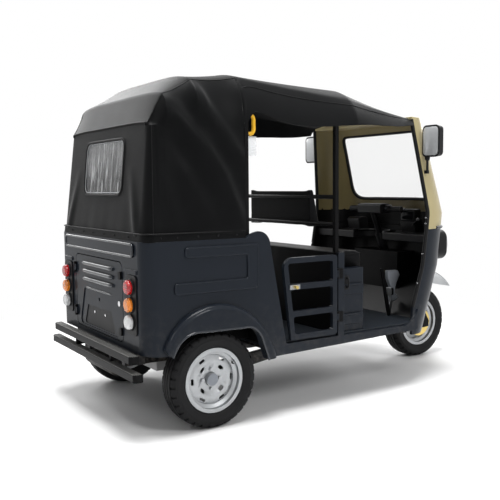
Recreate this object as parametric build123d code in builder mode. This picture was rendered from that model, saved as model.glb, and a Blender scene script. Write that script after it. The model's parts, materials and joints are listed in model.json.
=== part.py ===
from build123d import *
from collections import namedtuple
from math import cos, radians, sin, tan
import os

os.makedirs("parts", exist_ok=True)

# Millimetres. X runs forward, Y to the left, Z up, and the ground is Z = 0.
WHEELBASE = 2010
REAR_OVERHANG = 442
FRONT_OVERHANG = 298
REAR_X = (REAR_OVERHANG - FRONT_OVERHANG - WHEELBASE) / 2
FRONT_X = REAR_X + WHEELBASE
BODY_HALF_WIDTH = 600

# Sheet thicknesses and running gaps.
WALL = 20
SHEET = 12
HOOD_SHEET = 10
RUNNING_GAP = 0.05
DOOR_GAP = 5

# Wheels.
TYRE_RADIUS = 247
TYRE_WIDTH = 135
RIM_RADIUS = 166
RIM_WIDTH = 112
RIM_LIP = 4
RIM_METAL = 5
BEAD_RADIUS = 152
WELL_RADIUS = 134
AXLE_RADIUS = 15
WHEEL_INSET = 59
WHEEL_Y = BODY_HALF_WIDTH - WHEEL_INSET

# Body tub.
SIDE_INSIDE = BODY_HALF_WIDTH - WALL
REAR_WALL_X = REAR_X - 375
REAR_CORNER = 85
REAR_PANEL_HALF = BODY_HALF_WIDTH - 80
BODY_LOW_Z = 412
BELT_Z = 962
SHOULDER_Z = 992
FLOOR_TOP = 390
FLOOR_LOW = FLOOR_TOP - SHEET
SILL_LOW = 345
SILL_TOP = 380
SILL_FRONT_X = FRONT_X - 575
SILL_SWEEP_Z = 470
FLARE_WIDTH = 40
FLARE_ROUNDING = 30
RIB_HEIGHT = 7
RIB_ROUNDING = 3
RIB_CORNER = 14

# Seats and bulkhead.
PARTITION_X = REAR_X + 806
PILLAR_FRONT_X = REAR_X + 850
PARTITION_TOP = 850
TUB_TOP = 610
TUB_FRONT_X = REAR_X + 320
ARCH_ROOF_Z = 542
SEAT_HALF = SIDE_INSIDE - 80
SEAT_ROUNDING = 25
CUSHION_DEPTH = 110
SEAT_BASE_HALF = SIDE_INSIDE - 20
SEAT_BASE_FRONT_X = REAR_X + 1032
SEAT_BASE_TOP = 750
SEAT_RIB_HEIGHTS = [458, 630]
SEAT_RIB_WIDTH = 60
DRIVER_CUSHION_HALF = SIDE_INSIDE - 60
DRIVER_CUSHION_TOP = 845
BACK_PAD_HALF = 330

# Chassis rails.
RAIL_HALF = 250
RAIL_WIDTH = 40
RAIL_LOW = 300
RAIL_TOP = 360
RAIL_REAR_X = REAR_X - 345
RAIL_FRONT_X = FRONT_X - 470
CROSS_WIDTH = 50

# Rear suspension, carried between the tub and the wheels.
ARM_OUTER_Y = WHEEL_Y - 79
ARM_THICKNESS = 30
ARM_INNER_Y = ARM_OUTER_Y - ARM_THICKNESS
BRAKE_RADIUS = 100
DRUM_WIDTH = 14
TUB_HALF = ARM_INNER_Y - 2

# Hood over its bows.
HOOD_FRONT_X = REAR_X + 195
HOOD_SEAM_Z = 1521
HOOD_LOW_HALF = BODY_HALF_WIDTH - 10
HOOD_LOW_CORNER = 75
HOOD_LOW_X = REAR_X - 361
HOOD_TOP_HALF = BODY_HALF_WIDTH - 18
HOOD_TOP_REAR_HALF = BODY_HALF_WIDTH - 74
HOOD_TOP_CORNER = 28
HOOD_TOP_X = REAR_X - 305
WINDOW_WIDTH = 520
WINDOW_HEIGHT = 276
WINDOW_CORNER = 45
WINDOW_Z = 1328
HOOP_WIDTH = 24
HOOP_INSET = 14
GRAB_RAIL_HEIGHTS = [1005, 1160]

# Steering.
STEER_RAKE = 22
STEER_LEAD = 74
STEM_RADIUS = 20
HEAD_RADIUS = 32
HEAD_LOW_Z = 700
HEAD_TOP_Z = 900
CROWN_Z = 560
BAR_Z = 1065
BAR_HALF = 250
BAR_RADIUS = 13
GRIP_RADIUS = 17
GRIP_LENGTH = 120
LEG_Y = 82
LEG_THICKNESS = 40
GUARD_RADIUS = 370
GUARD_SHEET = 6
GUARD_HALF = 80
GUARD_FRONT = 40
GUARD_REAR = 112

# Nose, screen and lamps.
ARCH_HALF = 200
ARCH_TOP_Z = 760
ARCH_CORNER = 90
GLASS_DEPTH = 7
GLASS_THICKNESS = 6
DASH_LOW = 862
DASH_TOP = 910
HEADLAMP_Y = BODY_HALF_WIDTH - 268
HEADLAMP_Z = 832
HEADLAMP_RADIUS = 78
HEADLAMP_FACE_X = FRONT_X - 128
MIRROR_Y = BODY_HALF_WIDTH - 11
MIRROR_X = FRONT_X - 452

# Doors.
DOOR_EDGE_X = REAR_X + 788
DOOR_LOW = 396
DOOR_TOP = 842
DOOR_TUBE = 30
DOOR_THICKNESS = 24
DOOR_OUTSIDE = BODY_HALF_WIDTH + 12
DOOR_BARS = [537, 684]
HINGE_RADIUS = 7
PIN_RADIUS = 4
HINGE_HALF = 30
KNUCKLE_HALF = 17
HINGE_X = REAR_X + 797
HINGE_Y = BODY_HALF_WIDTH + HINGE_RADIUS
HINGE_HEIGHTS = [489, 733]
LAMP_PLATE_WIDTH = 122
LAMP_MARGIN = 10
HINGE_ROOM = 58
REAR_DOOR_HALF = REAR_PANEL_HALF - LAMP_MARGIN - LAMP_PLATE_WIDTH - HINGE_ROOM
REAR_DOOR_LOW = 443
REAR_DOOR_TOP = 847
REAR_DOOR_CORNER = 36
REAR_HINGE_X = REAR_WALL_X - HINGE_RADIUS
REAR_HINGE_Y = REAR_DOOR_HALF + 4
REAR_HINGE_HEIGHTS = [520, 770]
LOUVRE_HEIGHTS = [718, 762, 805]
LOUVRE_HALF = REAR_DOOR_HALF - 105
PLATE_HOLE_Y = 75
PLATE_HOLE_Z = 543
PLATE_HOLE_RADIUS = 3.3

# Tail lamps and bumper.
LAMP_Y = REAR_PANEL_HALF - LAMP_MARGIN - LAMP_PLATE_WIDTH / 2
LAMP_RADIUS = 36
LAMP_DEPTH = 30
LAMP_PLATE = 8
LAMP_PLATE_Z = 648
LAMP_PLATE_HEIGHT = 296
BUMPER_DEPTH = 48
BUMPER_HEIGHT = 40
BUMPER_ROUNDING = 6
BUMPER_CUT = 16
GROOVES = 5
GROOVE_PITCH = 8
GROOVE_RADIUS = 2
BUMPER_X = REAR_X - REAR_OVERHANG + BUMPER_DEPTH / 2

# Named columns for the tables below.
Nose = namedtuple("Nose", "z back front inset corner")
Bow = namedtuple("Bow", "x eave_inset eave_z corner_inset corner_z crown_z bulge")
Wheel = namedtuple("Wheel", "name x y side")
Lamp = namedtuple("Lamp", "name z")
Rail = namedtuple("Rail", "z inset")
Rib = namedtuple("Rib", "x0 x1 z0 z1")

# Plan sections of the nose, from the apron's lower edge to the header.
NOSE_APRON = [
    Nose(300, FRONT_X - 570, FRONT_X - 390, 55, 165),
    Nose(SILL_SWEEP_Z, FRONT_X - 570, FRONT_X - 315, 47, 211),
    Nose(720, FRONT_X - 500, FRONT_X - 205, 35, 280),
    Nose(950, FRONT_X - 464, FRONT_X - 172, 39, 280),
]
NOSE_COWL = [
    Nose(950, FRONT_X - 464, FRONT_X - 172, 39, 280),
    Nose(1045, FRONT_X - 450, FRONT_X - 165, 42, 270),
    Nose(1150, FRONT_X - 462, FRONT_X - 198, 55, 250),
    Nose(1640, FRONT_X - 532, FRONT_X - 360, 115, 160),
]

# Hood sections from the rear curtain's top edge to the header.
BOWS = [
    Bow(HOOD_TOP_X, 76, HOOD_SEAM_Z, 14, 1532, 1539, 2),
    Bow(REAR_X - 232, 66, HOOD_SEAM_Z, 6, 1674, 1692, 6),
    Bow(REAR_X - 75, 46, HOOD_SEAM_Z, 32, 1754, 1792, 14),
    Bow(REAR_X + 190, 15, HOOD_SEAM_Z, 72, 1782, 1820, 16),
    Bow(REAR_X + 206, 14, 1568, 73, 1781, 1820, 14),
    Bow(REAR_X + 950, 2, 1560, 73, 1696, 1790, 16),
    Bow(FRONT_X - 533, 78, 1582, 67, 1632, 1655, 10),
]
BOW_SHOULDER = 95

WHEELS = [
    Wheel("front", FRONT_X, 0, 1),
    Wheel("rear_right", REAR_X, -WHEEL_Y, -1),
    Wheel("rear_left", REAR_X, WHEEL_Y, 1),
]

LAMPS = [
    Lamp("tail_lamps_red", 738),
    Lamp("tail_lamps_amber", 651),
    Lamp("tail_lamps_clear", 565),
]

BUMPER_RAILS = [Rail(398, 43), Rail(318, 0)]

# The pressed rib on each side: two strips joined by an upright, from the rear axle.
SIDE_RIBS = [Rib(-161, 264, 878, 929), Rib(200, 264, 700, 929), Rib(-220, 264, 700, 755)]


def rear(points):
    """Points given from the rear axle, moved into the frame."""
    return [(REAR_X + x, z) for x, z in points]


def front(points):
    """Points given from the front axle, moved into the frame."""
    return [(FRONT_X + x, z) for x, z in points]


def round_plan(z, open_end, closed_end, corner):
    """A plan with a square open end and a rounded closed end, each given as (x, half width)."""
    (open_x, open_half), (closed_x, closed_half) = open_end, closed_end
    with BuildSketch(Plane.XY.offset(z)) as plan:
        with BuildLine():
            Polyline(
                (open_x, -open_half), (closed_x, -closed_half),
                (closed_x, closed_half), (open_x, open_half), close=True,
            )
        make_face()
        end = plan.vertices().group_by(Axis.X)[-1 if closed_x > open_x else 0]
        fillet(end, corner)
    return plan.sketch


def nose_solid(rows, inset, mode=Mode.ADD):
    """The nose between plan sections, moved inward by the inset."""
    plans = []
    for row in rows:
        back = row.back - (3 * WALL if inset else 0)
        half = BODY_HALF_WIDTH - row.inset - inset
        plans.append(round_plan(row.z, (back, half), (row.front - inset, half), row.corner - inset))
    loft(sections=plans, ruled=True, mode=mode)


def bow_band(bow, outer, inner, foot_z):
    """A hood section as a closed band between two insets, with legs down to the foot."""

    def rim(inset):
        eave = (BODY_HALF_WIDTH - bow.eave_inset - inset, bow.eave_z)
        corner = (eave[0] - bow.corner_inset + 0.3 * inset, bow.corner_z - 0.8 * inset)
        crown = (0, bow.crown_z - inset)
        shoulder = (corner[0] - BOW_SHOULDER, crown[1] - 0.15 * (crown[1] - corner[1]))
        bulge = ((eave[0] + corner[0]) / 2 + bow.bulge, (eave[1] + corner[1]) / 2 + 0.4 * bow.bulge)
        rise = 0.25 * (shoulder[1] - corner[1])
        turn = ((corner[0] + shoulder[0]) / 2, (corner[1] + shoulder[1]) / 2 + rise)
        return eave, bulge, corner, turn, shoulder, crown

    with BuildSketch(Plane.YZ.offset(bow.x)) as band:
        with BuildLine():
            ends = []
            for inset in (outer, inner):
                eave, bulge, corner, turn, shoulder, crown = rim(inset)
                for sign in (1, -1):
                    ThreePointArc(
                        (sign * eave[0], eave[1]), (sign * bulge[0], bulge[1]),
                        (sign * corner[0], corner[1]),
                    )
                    ThreePointArc(
                        (sign * corner[0], corner[1]), (sign * turn[0], turn[1]),
                        (sign * shoulder[0], shoulder[1]),
                    )
                ThreePointArc(shoulder, crown, (-shoulder[0], shoulder[1]))
                ends.append(eave[0])
            for sign in (1, -1):
                if foot_z < bow.eave_z:
                    Polyline(
                        (sign * ends[0], bow.eave_z), (sign * ends[0], foot_z),
                        (sign * ends[1], foot_z), (sign * ends[1], bow.eave_z),
                    )
                else:
                    Line((sign * ends[0], bow.eave_z), (sign * ends[1], bow.eave_z))
        make_face()
    return band.sketch


def block(x0, x1, y0, y1, z0, z1, mode=Mode.ADD):
    """A box between two corners."""
    with Locations(((x0 + x1) / 2, (y0 + y1) / 2, (z0 + z1) / 2)):
        Box(abs(x1 - x0), abs(y1 - y0), abs(z1 - z0), mode=mode)


def rod(x, y0, y1, z, radius, mode=Mode.ADD):
    """A round bar along Y."""
    with Locations((x, (y0 + y1) / 2, z)):
        Cylinder(radius, abs(y1 - y0), rotation=(90, 0, 0), mode=mode)


def post(x, y, z0, z1, radius, mode=Mode.ADD):
    """A round bar along Z."""
    with Locations((x, y, (z0 + z1) / 2)):
        Cylinder(radius, z1 - z0, mode=mode)


def side_plate(points, y0, y1, mode=Mode.ADD, corner=0):
    """A plate seen from the side, between two distances to the right of the centre."""
    with BuildSketch(Plane.XZ.offset(y0)) as plate:
        with BuildLine():
            Polyline(*points, close=True)
        make_face()
        if corner:
            fillet(plate.vertices(), corner)
    extrude(plate.sketch, amount=y1 - y0, mode=mode)


def steer_plane(z):
    """The plane square to the steering axis where the axis stands at height z."""
    x = FRONT_X - STEER_LEAD - (z - TYRE_RADIUS) * tan(radians(STEER_RAKE))
    axis = (-sin(radians(STEER_RAKE)), 0, cos(radians(STEER_RAKE)))
    return Plane(origin=(x, 0, z), x_dir=(0, 1, 0), z_dir=axis)


def steer_length(z0, z1):
    """The length along the steering axis between two heights."""
    return (z1 - z0) / cos(radians(STEER_RAKE))


# The chassis: two rails, cross members and the steering head on a raked strut.
with BuildPart() as chassis_frame:
    for sign in (1, -1):
        inner = sign * (RAIL_HALF - RAIL_WIDTH / 2)
        outer = sign * (RAIL_HALF + RAIL_WIDTH / 2)
        block(RAIL_REAR_X, RAIL_FRONT_X, inner, outer, RAIL_LOW, RAIL_TOP)
    block(RAIL_REAR_X, RAIL_REAR_X + RAIL_WIDTH, -TUB_HALF, TUB_HALF, RAIL_TOP - 20, FLOOR_TOP + 10)
    for x in (REAR_X + 395, PARTITION_X, FRONT_X - 700):
        block(x, x + CROSS_WIDTH, -SIDE_INSIDE, SIDE_INSIDE, RAIL_TOP - 30, FLOOR_LOW)
    block(RAIL_FRONT_X - CROSS_WIDTH, RAIL_FRONT_X, -RAIL_HALF, RAIL_HALF, RAIL_LOW, RAIL_TOP)
    strut = [(-510, 310), (-470, 310), (-275, 530), (-232, 700), (-262, 725), (-310, 560), (-510, 358)]
    side_plate(front(strut), -25, 25)
    with BuildSketch(steer_plane(HEAD_LOW_Z)):
        Circle(HEAD_RADIUS)
    extrude(amount=steer_length(HEAD_LOW_Z, HEAD_TOP_Z))
    with BuildSketch(steer_plane(CROWN_Z)):
        Circle(STEM_RADIUS + RUNNING_GAP)
    extrude(amount=steer_length(CROWN_Z, HEAD_TOP_Z + 20), mode=Mode.SUBTRACT)
chassis_frame.part.label = "chassis_frame"
export_step(chassis_frame.part, "parts/chassis_frame.step")

with BuildPart() as floor_pan:
    nose_half = SIDE_INSIDE - 55
    with BuildSketch(Plane.XY.offset(FLOOR_LOW)):
        with BuildLine():
            Polyline(
                (REAR_X + 308, -SIDE_INSIDE), (SILL_FRONT_X, -SIDE_INSIDE), (SILL_FRONT_X, -nose_half),
                (FRONT_X - 510, -nose_half), (FRONT_X - 510, nose_half), (SILL_FRONT_X, nose_half),
                (SILL_FRONT_X, SIDE_INSIDE), (REAR_X + 308, SIDE_INSIDE), close=True,
            )
        make_face()
    extrude(amount=SHEET)
floor_pan.part.label = "floor_pan"
export_step(floor_pan.part, "parts/floor_pan.step")

# One side: rear corner, wheel arch with its flare, door shoulder, sill and door pillar.
with BuildPart() as body_side_right:
    outside = round_plan(
        SILL_LOW - 45, (FRONT_X, BODY_HALF_WIDTH), (REAR_WALL_X, BODY_HALF_WIDTH), REAR_CORNER
    )
    extrude(outside, amount=SHOULDER_Z - SILL_LOW + 45)
    inside = round_plan(
        SILL_LOW - 45, (FRONT_X + 5, SIDE_INSIDE), (REAR_WALL_X + WALL, SIDE_INSIDE), REAR_CORNER - WALL
    )
    extrude(inside, amount=SHOULDER_Z - SILL_LOW + 45, mode=Mode.SUBTRACT)
    with BuildSketch(Plane.XZ):
        with BuildLine():
            arch = rear([(-253, 403), (-200, 481), (-125, 512)])
            arch += rear([(198, 506), (243, 475), (268, 435), (309, 319)])
            Line((REAR_WALL_X - 5, BODY_LOW_Z), arch[0])
            ThreePointArc(arch[0], arch[1], arch[2])
            Line(arch[2], arch[3])
            ThreePointArc(arch[3], arch[4], arch[5])
            Line(arch[5], arch[6])
            sweep_start = (SILL_FRONT_X - 150, SILL_TOP)
            sweep_middle = (SILL_FRONT_X - 45, SILL_TOP + 24)
            sweep_end = (SILL_FRONT_X, SILL_SWEEP_Z)
            Polyline(arch[6], (SILL_FRONT_X, SILL_LOW), sweep_end)
            ThreePointArc(sweep_end, sweep_middle, sweep_start)
            shoulder = rear([(345, 917), (327, 966), (276, SHOULDER_Z), (232, 982), (195, BELT_Z)])
            Polyline(
                sweep_start, (PILLAR_FRONT_X, SILL_TOP), (PILLAR_FRONT_X, PARTITION_TOP),
                (PARTITION_X, PARTITION_TOP), (PARTITION_X, SILL_TOP), (REAR_X + 445, SILL_TOP), shoulder[0],
            )
            ThreePointArc(shoulder[0], shoulder[1], shoulder[2])
            ThreePointArc(shoulder[2], shoulder[3], shoulder[4])
            Polyline(shoulder[4], (REAR_WALL_X - 5, BELT_Z), (REAR_WALL_X - 5, BODY_LOW_Z))
        make_face()
    extrude(amount=BODY_HALF_WIDTH + 1, mode=Mode.INTERSECT)
    block(REAR_WALL_X - 1, REAR_WALL_X + WALL + 1, -REAR_PANEL_HALF, 0, SILL_LOW - 45, 1000, Mode.SUBTRACT)
    with BuildSketch(Plane.XZ.offset(BODY_HALF_WIDTH)):
        with BuildLine():
            flare = rear([(367, 322), (304, 469), (181, 588), (-140, 605), (-285, 440)])
            ThreePointArc(arch[0], arch[1], arch[2])
            Line(arch[2], arch[3])
            ThreePointArc(arch[3], arch[4], arch[5])
            Polyline(arch[5], arch[6], flare[0])
            haunch = ThreePointArc(flare[0], flare[1], flare[2])
            crest = TangentArc(flare[2], flare[3], tangent=haunch % 1)
            TangentArc(flare[3], flare[4], tangent=crest % 1)
            Line(flare[4], arch[0])
        make_face()
    extrude(amount=FLARE_WIDTH)
    flare_rim = body_side_right.faces().sort_by(Axis.Y)[0].edges().filter_by(GeomType.CIRCLE)
    fillet(flare_rim.sort_by(SortBy.LENGTH)[-3:], FLARE_ROUNDING)
    with BuildSketch(Plane.XZ.offset(BODY_HALF_WIDTH)):
        for rib in SIDE_RIBS:
            with Locations((REAR_X + (rib.x0 + rib.x1) / 2, (rib.z0 + rib.z1) / 2)):
                RectangleRounded(rib.x1 - rib.x0, rib.z1 - rib.z0, RIB_CORNER)
    extrude(amount=RIB_HEIGHT)
    rib_face = body_side_right.faces().filter_by(Axis.Y).filter_by_position(
        Axis.Y, -BODY_HALF_WIDTH - RIB_HEIGHT - 0.1, -BODY_HALF_WIDTH - RIB_HEIGHT + 0.1
    )
    fillet(rib_face.edges(), RIB_ROUNDING)
body_side_right.part.label = "body_side_right"
export_step(body_side_right.part, "parts/body_side_right.step")

with BuildPart() as body_side_left:
    add(mirror(body_side_right.part, about=Plane.XZ))
body_side_left.part.label = "body_side_left"
export_step(body_side_left.part, "parts/body_side_left.step")

with BuildPart() as rear_panel:
    with BuildSketch(Plane.YZ.offset(REAR_WALL_X)):
        with Locations((0, (BODY_LOW_Z + BELT_Z) / 2)):
            Rectangle(2 * REAR_PANEL_HALF, BELT_Z - BODY_LOW_Z)
        with Locations((0, (REAR_DOOR_LOW + REAR_DOOR_TOP) / 2)):
            opening_height = REAR_DOOR_TOP - REAR_DOOR_LOW + 2 * DOOR_GAP
            opening_half = REAR_DOOR_HALF + DOOR_GAP
            RectangleRounded(2 * opening_half, opening_height, REAR_DOOR_CORNER + 4, mode=Mode.SUBTRACT)
    extrude(amount=WALL)
    with BuildSketch(Plane.YZ.offset(REAR_WALL_X)):
        with Locations((0, 918)):
            RectangleRounded(2 * REAR_PANEL_HALF - 84, 62, 20)
        hood_z = LAMP_PLATE_Z + LAMP_PLATE_HEIGHT / 2 + 17
        with Locations((-LAMP_Y, hood_z), (LAMP_Y, hood_z)):
            RectangleRounded(LAMP_PLATE_WIDTH + 6, 26, 10)
    extrude(amount=-RIB_HEIGHT, taper=20)
    pressed = rear_panel.faces().filter_by(Axis.X).group_by(Axis.X)[0]
    fillet(pressed.edges(), RIB_ROUNDING)
rear_panel.part.label = "rear_panel"
export_step(rear_panel.part, "parts/rear_panel.step")

# The rear tub: engine cover with the seat on it, and the wheel housings.
with BuildPart() as rear_tub:
    inside_x = REAR_WALL_X + WALL
    block(inside_x, TUB_FRONT_X, -SEAT_HALF, SEAT_HALF, TUB_TOP - SHEET, TUB_TOP)
    block(TUB_FRONT_X - SHEET, TUB_FRONT_X, -SIDE_INSIDE, SIDE_INSIDE, FLOOR_TOP, ARCH_ROOF_Z)
    block(TUB_FRONT_X - SHEET, TUB_FRONT_X, -TUB_HALF, TUB_HALF, FLOOR_TOP, TUB_TOP)
    for sign in (1, -1):
        wall_y = sign * TUB_HALF
        block(inside_x, TUB_FRONT_X, wall_y - sign * SHEET, wall_y, FLOOR_TOP + 10, TUB_TOP)
        block(
            REAR_X - 285, TUB_FRONT_X, wall_y - sign * SHEET, sign * SIDE_INSIDE,
            ARCH_ROOF_Z - SHEET, ARCH_ROOF_Z,
        )
rear_tub.part.label = "rear_tub"
export_step(rear_tub.part, "parts/rear_tub.step")

with BuildPart() as passenger_cushion:
    block(REAR_X - 60, TUB_FRONT_X + 14, -SEAT_HALF, SEAT_HALF, TUB_TOP, TUB_TOP + CUSHION_DEPTH)
    fillet(passenger_cushion.edges().filter_by(Axis.Y).group_by(Axis.Z)[-1], SEAT_ROUNDING)
passenger_cushion.part.label = "passenger_cushion"
export_step(passenger_cushion.part, "parts/passenger_cushion.step")

with BuildPart() as passenger_backrest:
    back = [(-60, TUB_TOP), (-165, TUB_TOP), (-255, 1150), (-235, 1172), (-170, 1172), (-146, 1146)]
    side_plate(rear(back), -SEAT_HALF, SEAT_HALF)
passenger_backrest.part.label = "passenger_backrest"
export_step(passenger_backrest.part, "parts/passenger_backrest.step")

with BuildPart() as partition:
    block(PARTITION_X, PARTITION_X + SHEET, -SIDE_INSIDE, SIDE_INSIDE, FLOOR_TOP, PARTITION_TOP)
partition.part.label = "partition"
export_step(partition.part, "parts/partition.step")

# The driver's seat stands on a box with two pressed ribs across each end.
with BuildPart() as driver_seat_base:
    base_x = PARTITION_X + SHEET
    block(base_x, SEAT_BASE_FRONT_X, -SEAT_BASE_HALF, SEAT_BASE_HALF, FLOOR_TOP, SEAT_BASE_TOP)
    fillet(driver_seat_base.edges().filter_by(Axis.Z).group_by(Axis.X)[-1], 12)
    block(
        base_x + 15, SEAT_BASE_FRONT_X - 15, 15 - SEAT_BASE_HALF, SEAT_BASE_HALF - 15,
        FLOOR_TOP, SEAT_BASE_TOP - 15, Mode.SUBTRACT,
    )
    rib_x = (PILLAR_FRONT_X + SEAT_BASE_FRONT_X) / 2
    for plane, out in ((Plane.XZ.offset(SEAT_BASE_HALF), 1), (Plane.XZ.offset(-SEAT_BASE_HALF), -1)):
        with BuildSketch(plane):
            for z in SEAT_RIB_HEIGHTS:
                with Locations((rib_x, z)):
                    RectangleRounded(SEAT_BASE_FRONT_X - PILLAR_FRONT_X - 16, SEAT_RIB_WIDTH, RIB_ROUNDING)
        extrude(amount=out * RIB_HEIGHT, taper=15)
driver_seat_base.part.label = "driver_seat_base"
export_step(driver_seat_base.part, "parts/driver_seat_base.step")

with BuildPart() as driver_cushion:
    block(
        PARTITION_X + SHEET, REAR_X + 1075, -DRIVER_CUSHION_HALF, DRIVER_CUSHION_HALF,
        SEAT_BASE_TOP, DRIVER_CUSHION_TOP,
    )
    fillet(driver_cushion.edges().filter_by(Axis.Y).group_by(Axis.Z)[-1], SEAT_ROUNDING)
driver_cushion.part.label = "driver_cushion"
export_step(driver_cushion.part, "parts/driver_cushion.step")

with BuildPart() as driver_backrest:
    hoop_front = PARTITION_X + SHEET / 2 + HOOP_WIDTH / 2
    pad = [(0, 976), (72, 976), (82, 990), (34, 1203), (24, 1209), (0, 1209)]
    side_plate([(hoop_front + x, z) for x, z in pad], -BACK_PAD_HALF, BACK_PAD_HALF)
driver_backrest.part.label = "driver_backrest"
export_step(driver_backrest.part, "parts/driver_backrest.step")

# The nose is a lofted shell: the apron below, the cowl and windscreen frame above.
with BuildPart() as front_apron:
    nose_solid(NOSE_APRON, 0)
    nose_solid(NOSE_APRON, WALL, Mode.SUBTRACT)
    with BuildSketch(Plane.YZ.offset(FRONT_X - 700)):
        with Locations((0, ARCH_TOP_Z - 280)):
            RectangleRounded(2 * ARCH_HALF, 560, ARCH_CORNER)
    extrude(amount=700, mode=Mode.SUBTRACT)
front_apron.part.label = "front_apron"
export_step(front_apron.part, "parts/front_apron.step")


def windscreen_opening(mode):
    """The windscreen opening, cut straight through along X."""
    low_half = BODY_HALF_WIDTH - 208
    high_half = BODY_HALF_WIDTH - 232
    with BuildSketch(Plane.YZ.offset(FRONT_X - 560)) as hole:
        with BuildLine():
            Polyline(
                (-low_half, 1128), (low_half, 1128), (high_half, 1570), (-high_half, 1570), close=True
            )
        make_face()
        fillet(hole.vertices().group_by(Axis.Y)[0], 90)
        fillet(hole.vertices().group_by(Axis.Y)[-1], 40)
    extrude(hole.sketch, amount=560, mode=mode)


with BuildPart() as cowl_shell:
    nose_solid(NOSE_COWL, 0)
    nose_solid(NOSE_COWL, WALL, Mode.SUBTRACT)
    windscreen_opening(Mode.SUBTRACT)
with BuildPart() as header:
    nose_solid(NOSE_COWL, 0)
    block(FRONT_X - 600, FRONT_X, -700, 700, 900, 1616, Mode.SUBTRACT)
with BuildPart() as windscreen_frame:
    add(cowl_shell.part)
    add(header.part)
windscreen_frame.part.label = "windscreen_frame"
export_step(windscreen_frame.part, "parts/windscreen_frame.step")

with BuildPart() as windscreen_glass:
    nose_solid(NOSE_COWL, GLASS_DEPTH)
    nose_solid(NOSE_COWL, GLASS_DEPTH + GLASS_THICKNESS, Mode.SUBTRACT)
    windscreen_opening(Mode.INTERSECT)
windscreen_glass.part.label = "windscreen_glass"
export_step(windscreen_glass.part, "parts/windscreen_glass.step")

# Inside the nose: a shelf with an instrument pod, and a toe board, against the apron's inner face.
with BuildPart() as dashboard:
    nose_solid(NOSE_APRON, WALL)
    block(FRONT_X - 445, FRONT_X, -700, 700, DASH_LOW, DASH_TOP, Mode.INTERSECT)
    with Locations((FRONT_X - 400, 0, DASH_LOW + 24)):
        Cylinder(150, 100, mode=Mode.SUBTRACT)
    block(FRONT_X - 420, FRONT_X - 290, -90, 90, DASH_LOW - 62, DASH_TOP + 40, Mode.SUBTRACT)
    pod = [(-330, DASH_TOP), (-345, 985), (-325, 1000), (-262, 1000), (-245, DASH_TOP)]
    for sign in (1, -1):
        low, high = sorted((sign * 205, sign * 330))
        side_plate(front(pod), low, high)
dashboard.part.label = "dashboard"
export_step(dashboard.part, "parts/dashboard.step")

with BuildPart() as toe_slope:
    nose_solid(NOSE_APRON, WALL)
    slope = [(-510, 378), (-498, 378), (-262, 628), (-262, 645), (-510, 390)]
    side_plate(front(slope), -SIDE_INSIDE, SIDE_INSIDE, Mode.INTERSECT)
    block(FRONT_X - 360, FRONT_X, -ARCH_HALF, ARCH_HALF, 300, 800, Mode.SUBTRACT)
with BuildPart() as wheel_box:
    nose_solid(NOSE_APRON, WALL)
    outer = ARCH_HALF + SHEET
    block(FRONT_X - 360 - SHEET, FRONT_X, -outer, outer, 524, ARCH_TOP_Z + 8 + SHEET, Mode.INTERSECT)
    block(FRONT_X - 360, FRONT_X, -ARCH_HALF, ARCH_HALF, 500, ARCH_TOP_Z + 8, Mode.SUBTRACT)
    with BuildSketch(steer_plane(HEAD_LOW_Z)):
        Circle(HEAD_RADIUS + 1)
    extrude(amount=steer_length(HEAD_LOW_Z, HEAD_TOP_Z), mode=Mode.SUBTRACT)
with BuildPart() as toe_board:
    add(toe_slope.part)
    add(wheel_box.part)
toe_board.part.label = "toe_board"
export_step(toe_board.part, "parts/toe_board.step")

# The brake pedal on its bracket and the hand lever, both standing on the floor.
with BuildPart() as driver_controls:
    bracket = [(-545, FLOOR_TOP), (-512, FLOOR_TOP), (-496, 470), (-500, 560), (-516, 560), (-520, 470)]
    side_plate(front(bracket), 288, 300, corner=4)
    with BuildSketch(Plane.YZ.offset(FRONT_X - 528)):
        with Locations((-294, 540)):
            RectangleRounded(62, 46, 8)
    extrude(amount=16)
    lever = [(-570, FLOOR_TOP), (-545, FLOOR_TOP), (-600, 620), (-618, 700), (-634, 698), (-616, 616)]
    side_plate(front(lever), 322, 338, corner=4)
driver_controls.part.label = "driver_controls"
export_step(driver_controls.part, "parts/driver_controls.step")

with BuildPart() as nose_outside:
    nose_solid(NOSE_APRON, 0)
with BuildPart() as headlamp_housings:
    with BuildSketch(Plane.YZ.offset(FRONT_X - 290)):
        with Locations((-HEADLAMP_Y, HEADLAMP_Z), (HEADLAMP_Y, HEADLAMP_Z)):
            RectangleRounded(185, 195, 60)
    extrude(amount=162)
    fillet(headlamp_housings.faces().sort_by(Axis.X)[-2:].edges(), 8)
    add(nose_outside.part, mode=Mode.SUBTRACT)
headlamp_housings.part.label = "headlamp_housings"
export_step(headlamp_housings.part, "parts/headlamp_housings.step")

with BuildPart() as headlamp_lenses:
    with BuildSketch(Plane.YZ.offset(HEADLAMP_FACE_X)):
        with Locations((-HEADLAMP_Y, HEADLAMP_Z), (HEADLAMP_Y, HEADLAMP_Z)):
            Circle(HEADLAMP_RADIUS)
    extrude(amount=14)
    fillet(headlamp_lenses.edges().group_by(Axis.X)[-1], 10)
headlamp_lenses.part.label = "headlamp_lenses"
export_step(headlamp_lenses.part, "parts/headlamp_lenses.step")


def hood_plans(inset):
    """The hood's plan at the belt and at the roof seam, moved inward by the inset."""
    front_x = HOOD_FRONT_X + inset
    low_end = (HOOD_LOW_X + inset, HOOD_LOW_HALF - inset)
    top_end = (HOOD_TOP_X + inset, HOOD_TOP_REAR_HALF - inset)
    return [
        round_plan(BELT_Z, (front_x, HOOD_LOW_HALF - inset), low_end, HOOD_LOW_CORNER - inset),
        round_plan(HOOD_SEAM_Z, (front_x, HOOD_TOP_HALF - inset), top_end, HOOD_TOP_CORNER - inset),
    ]


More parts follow.
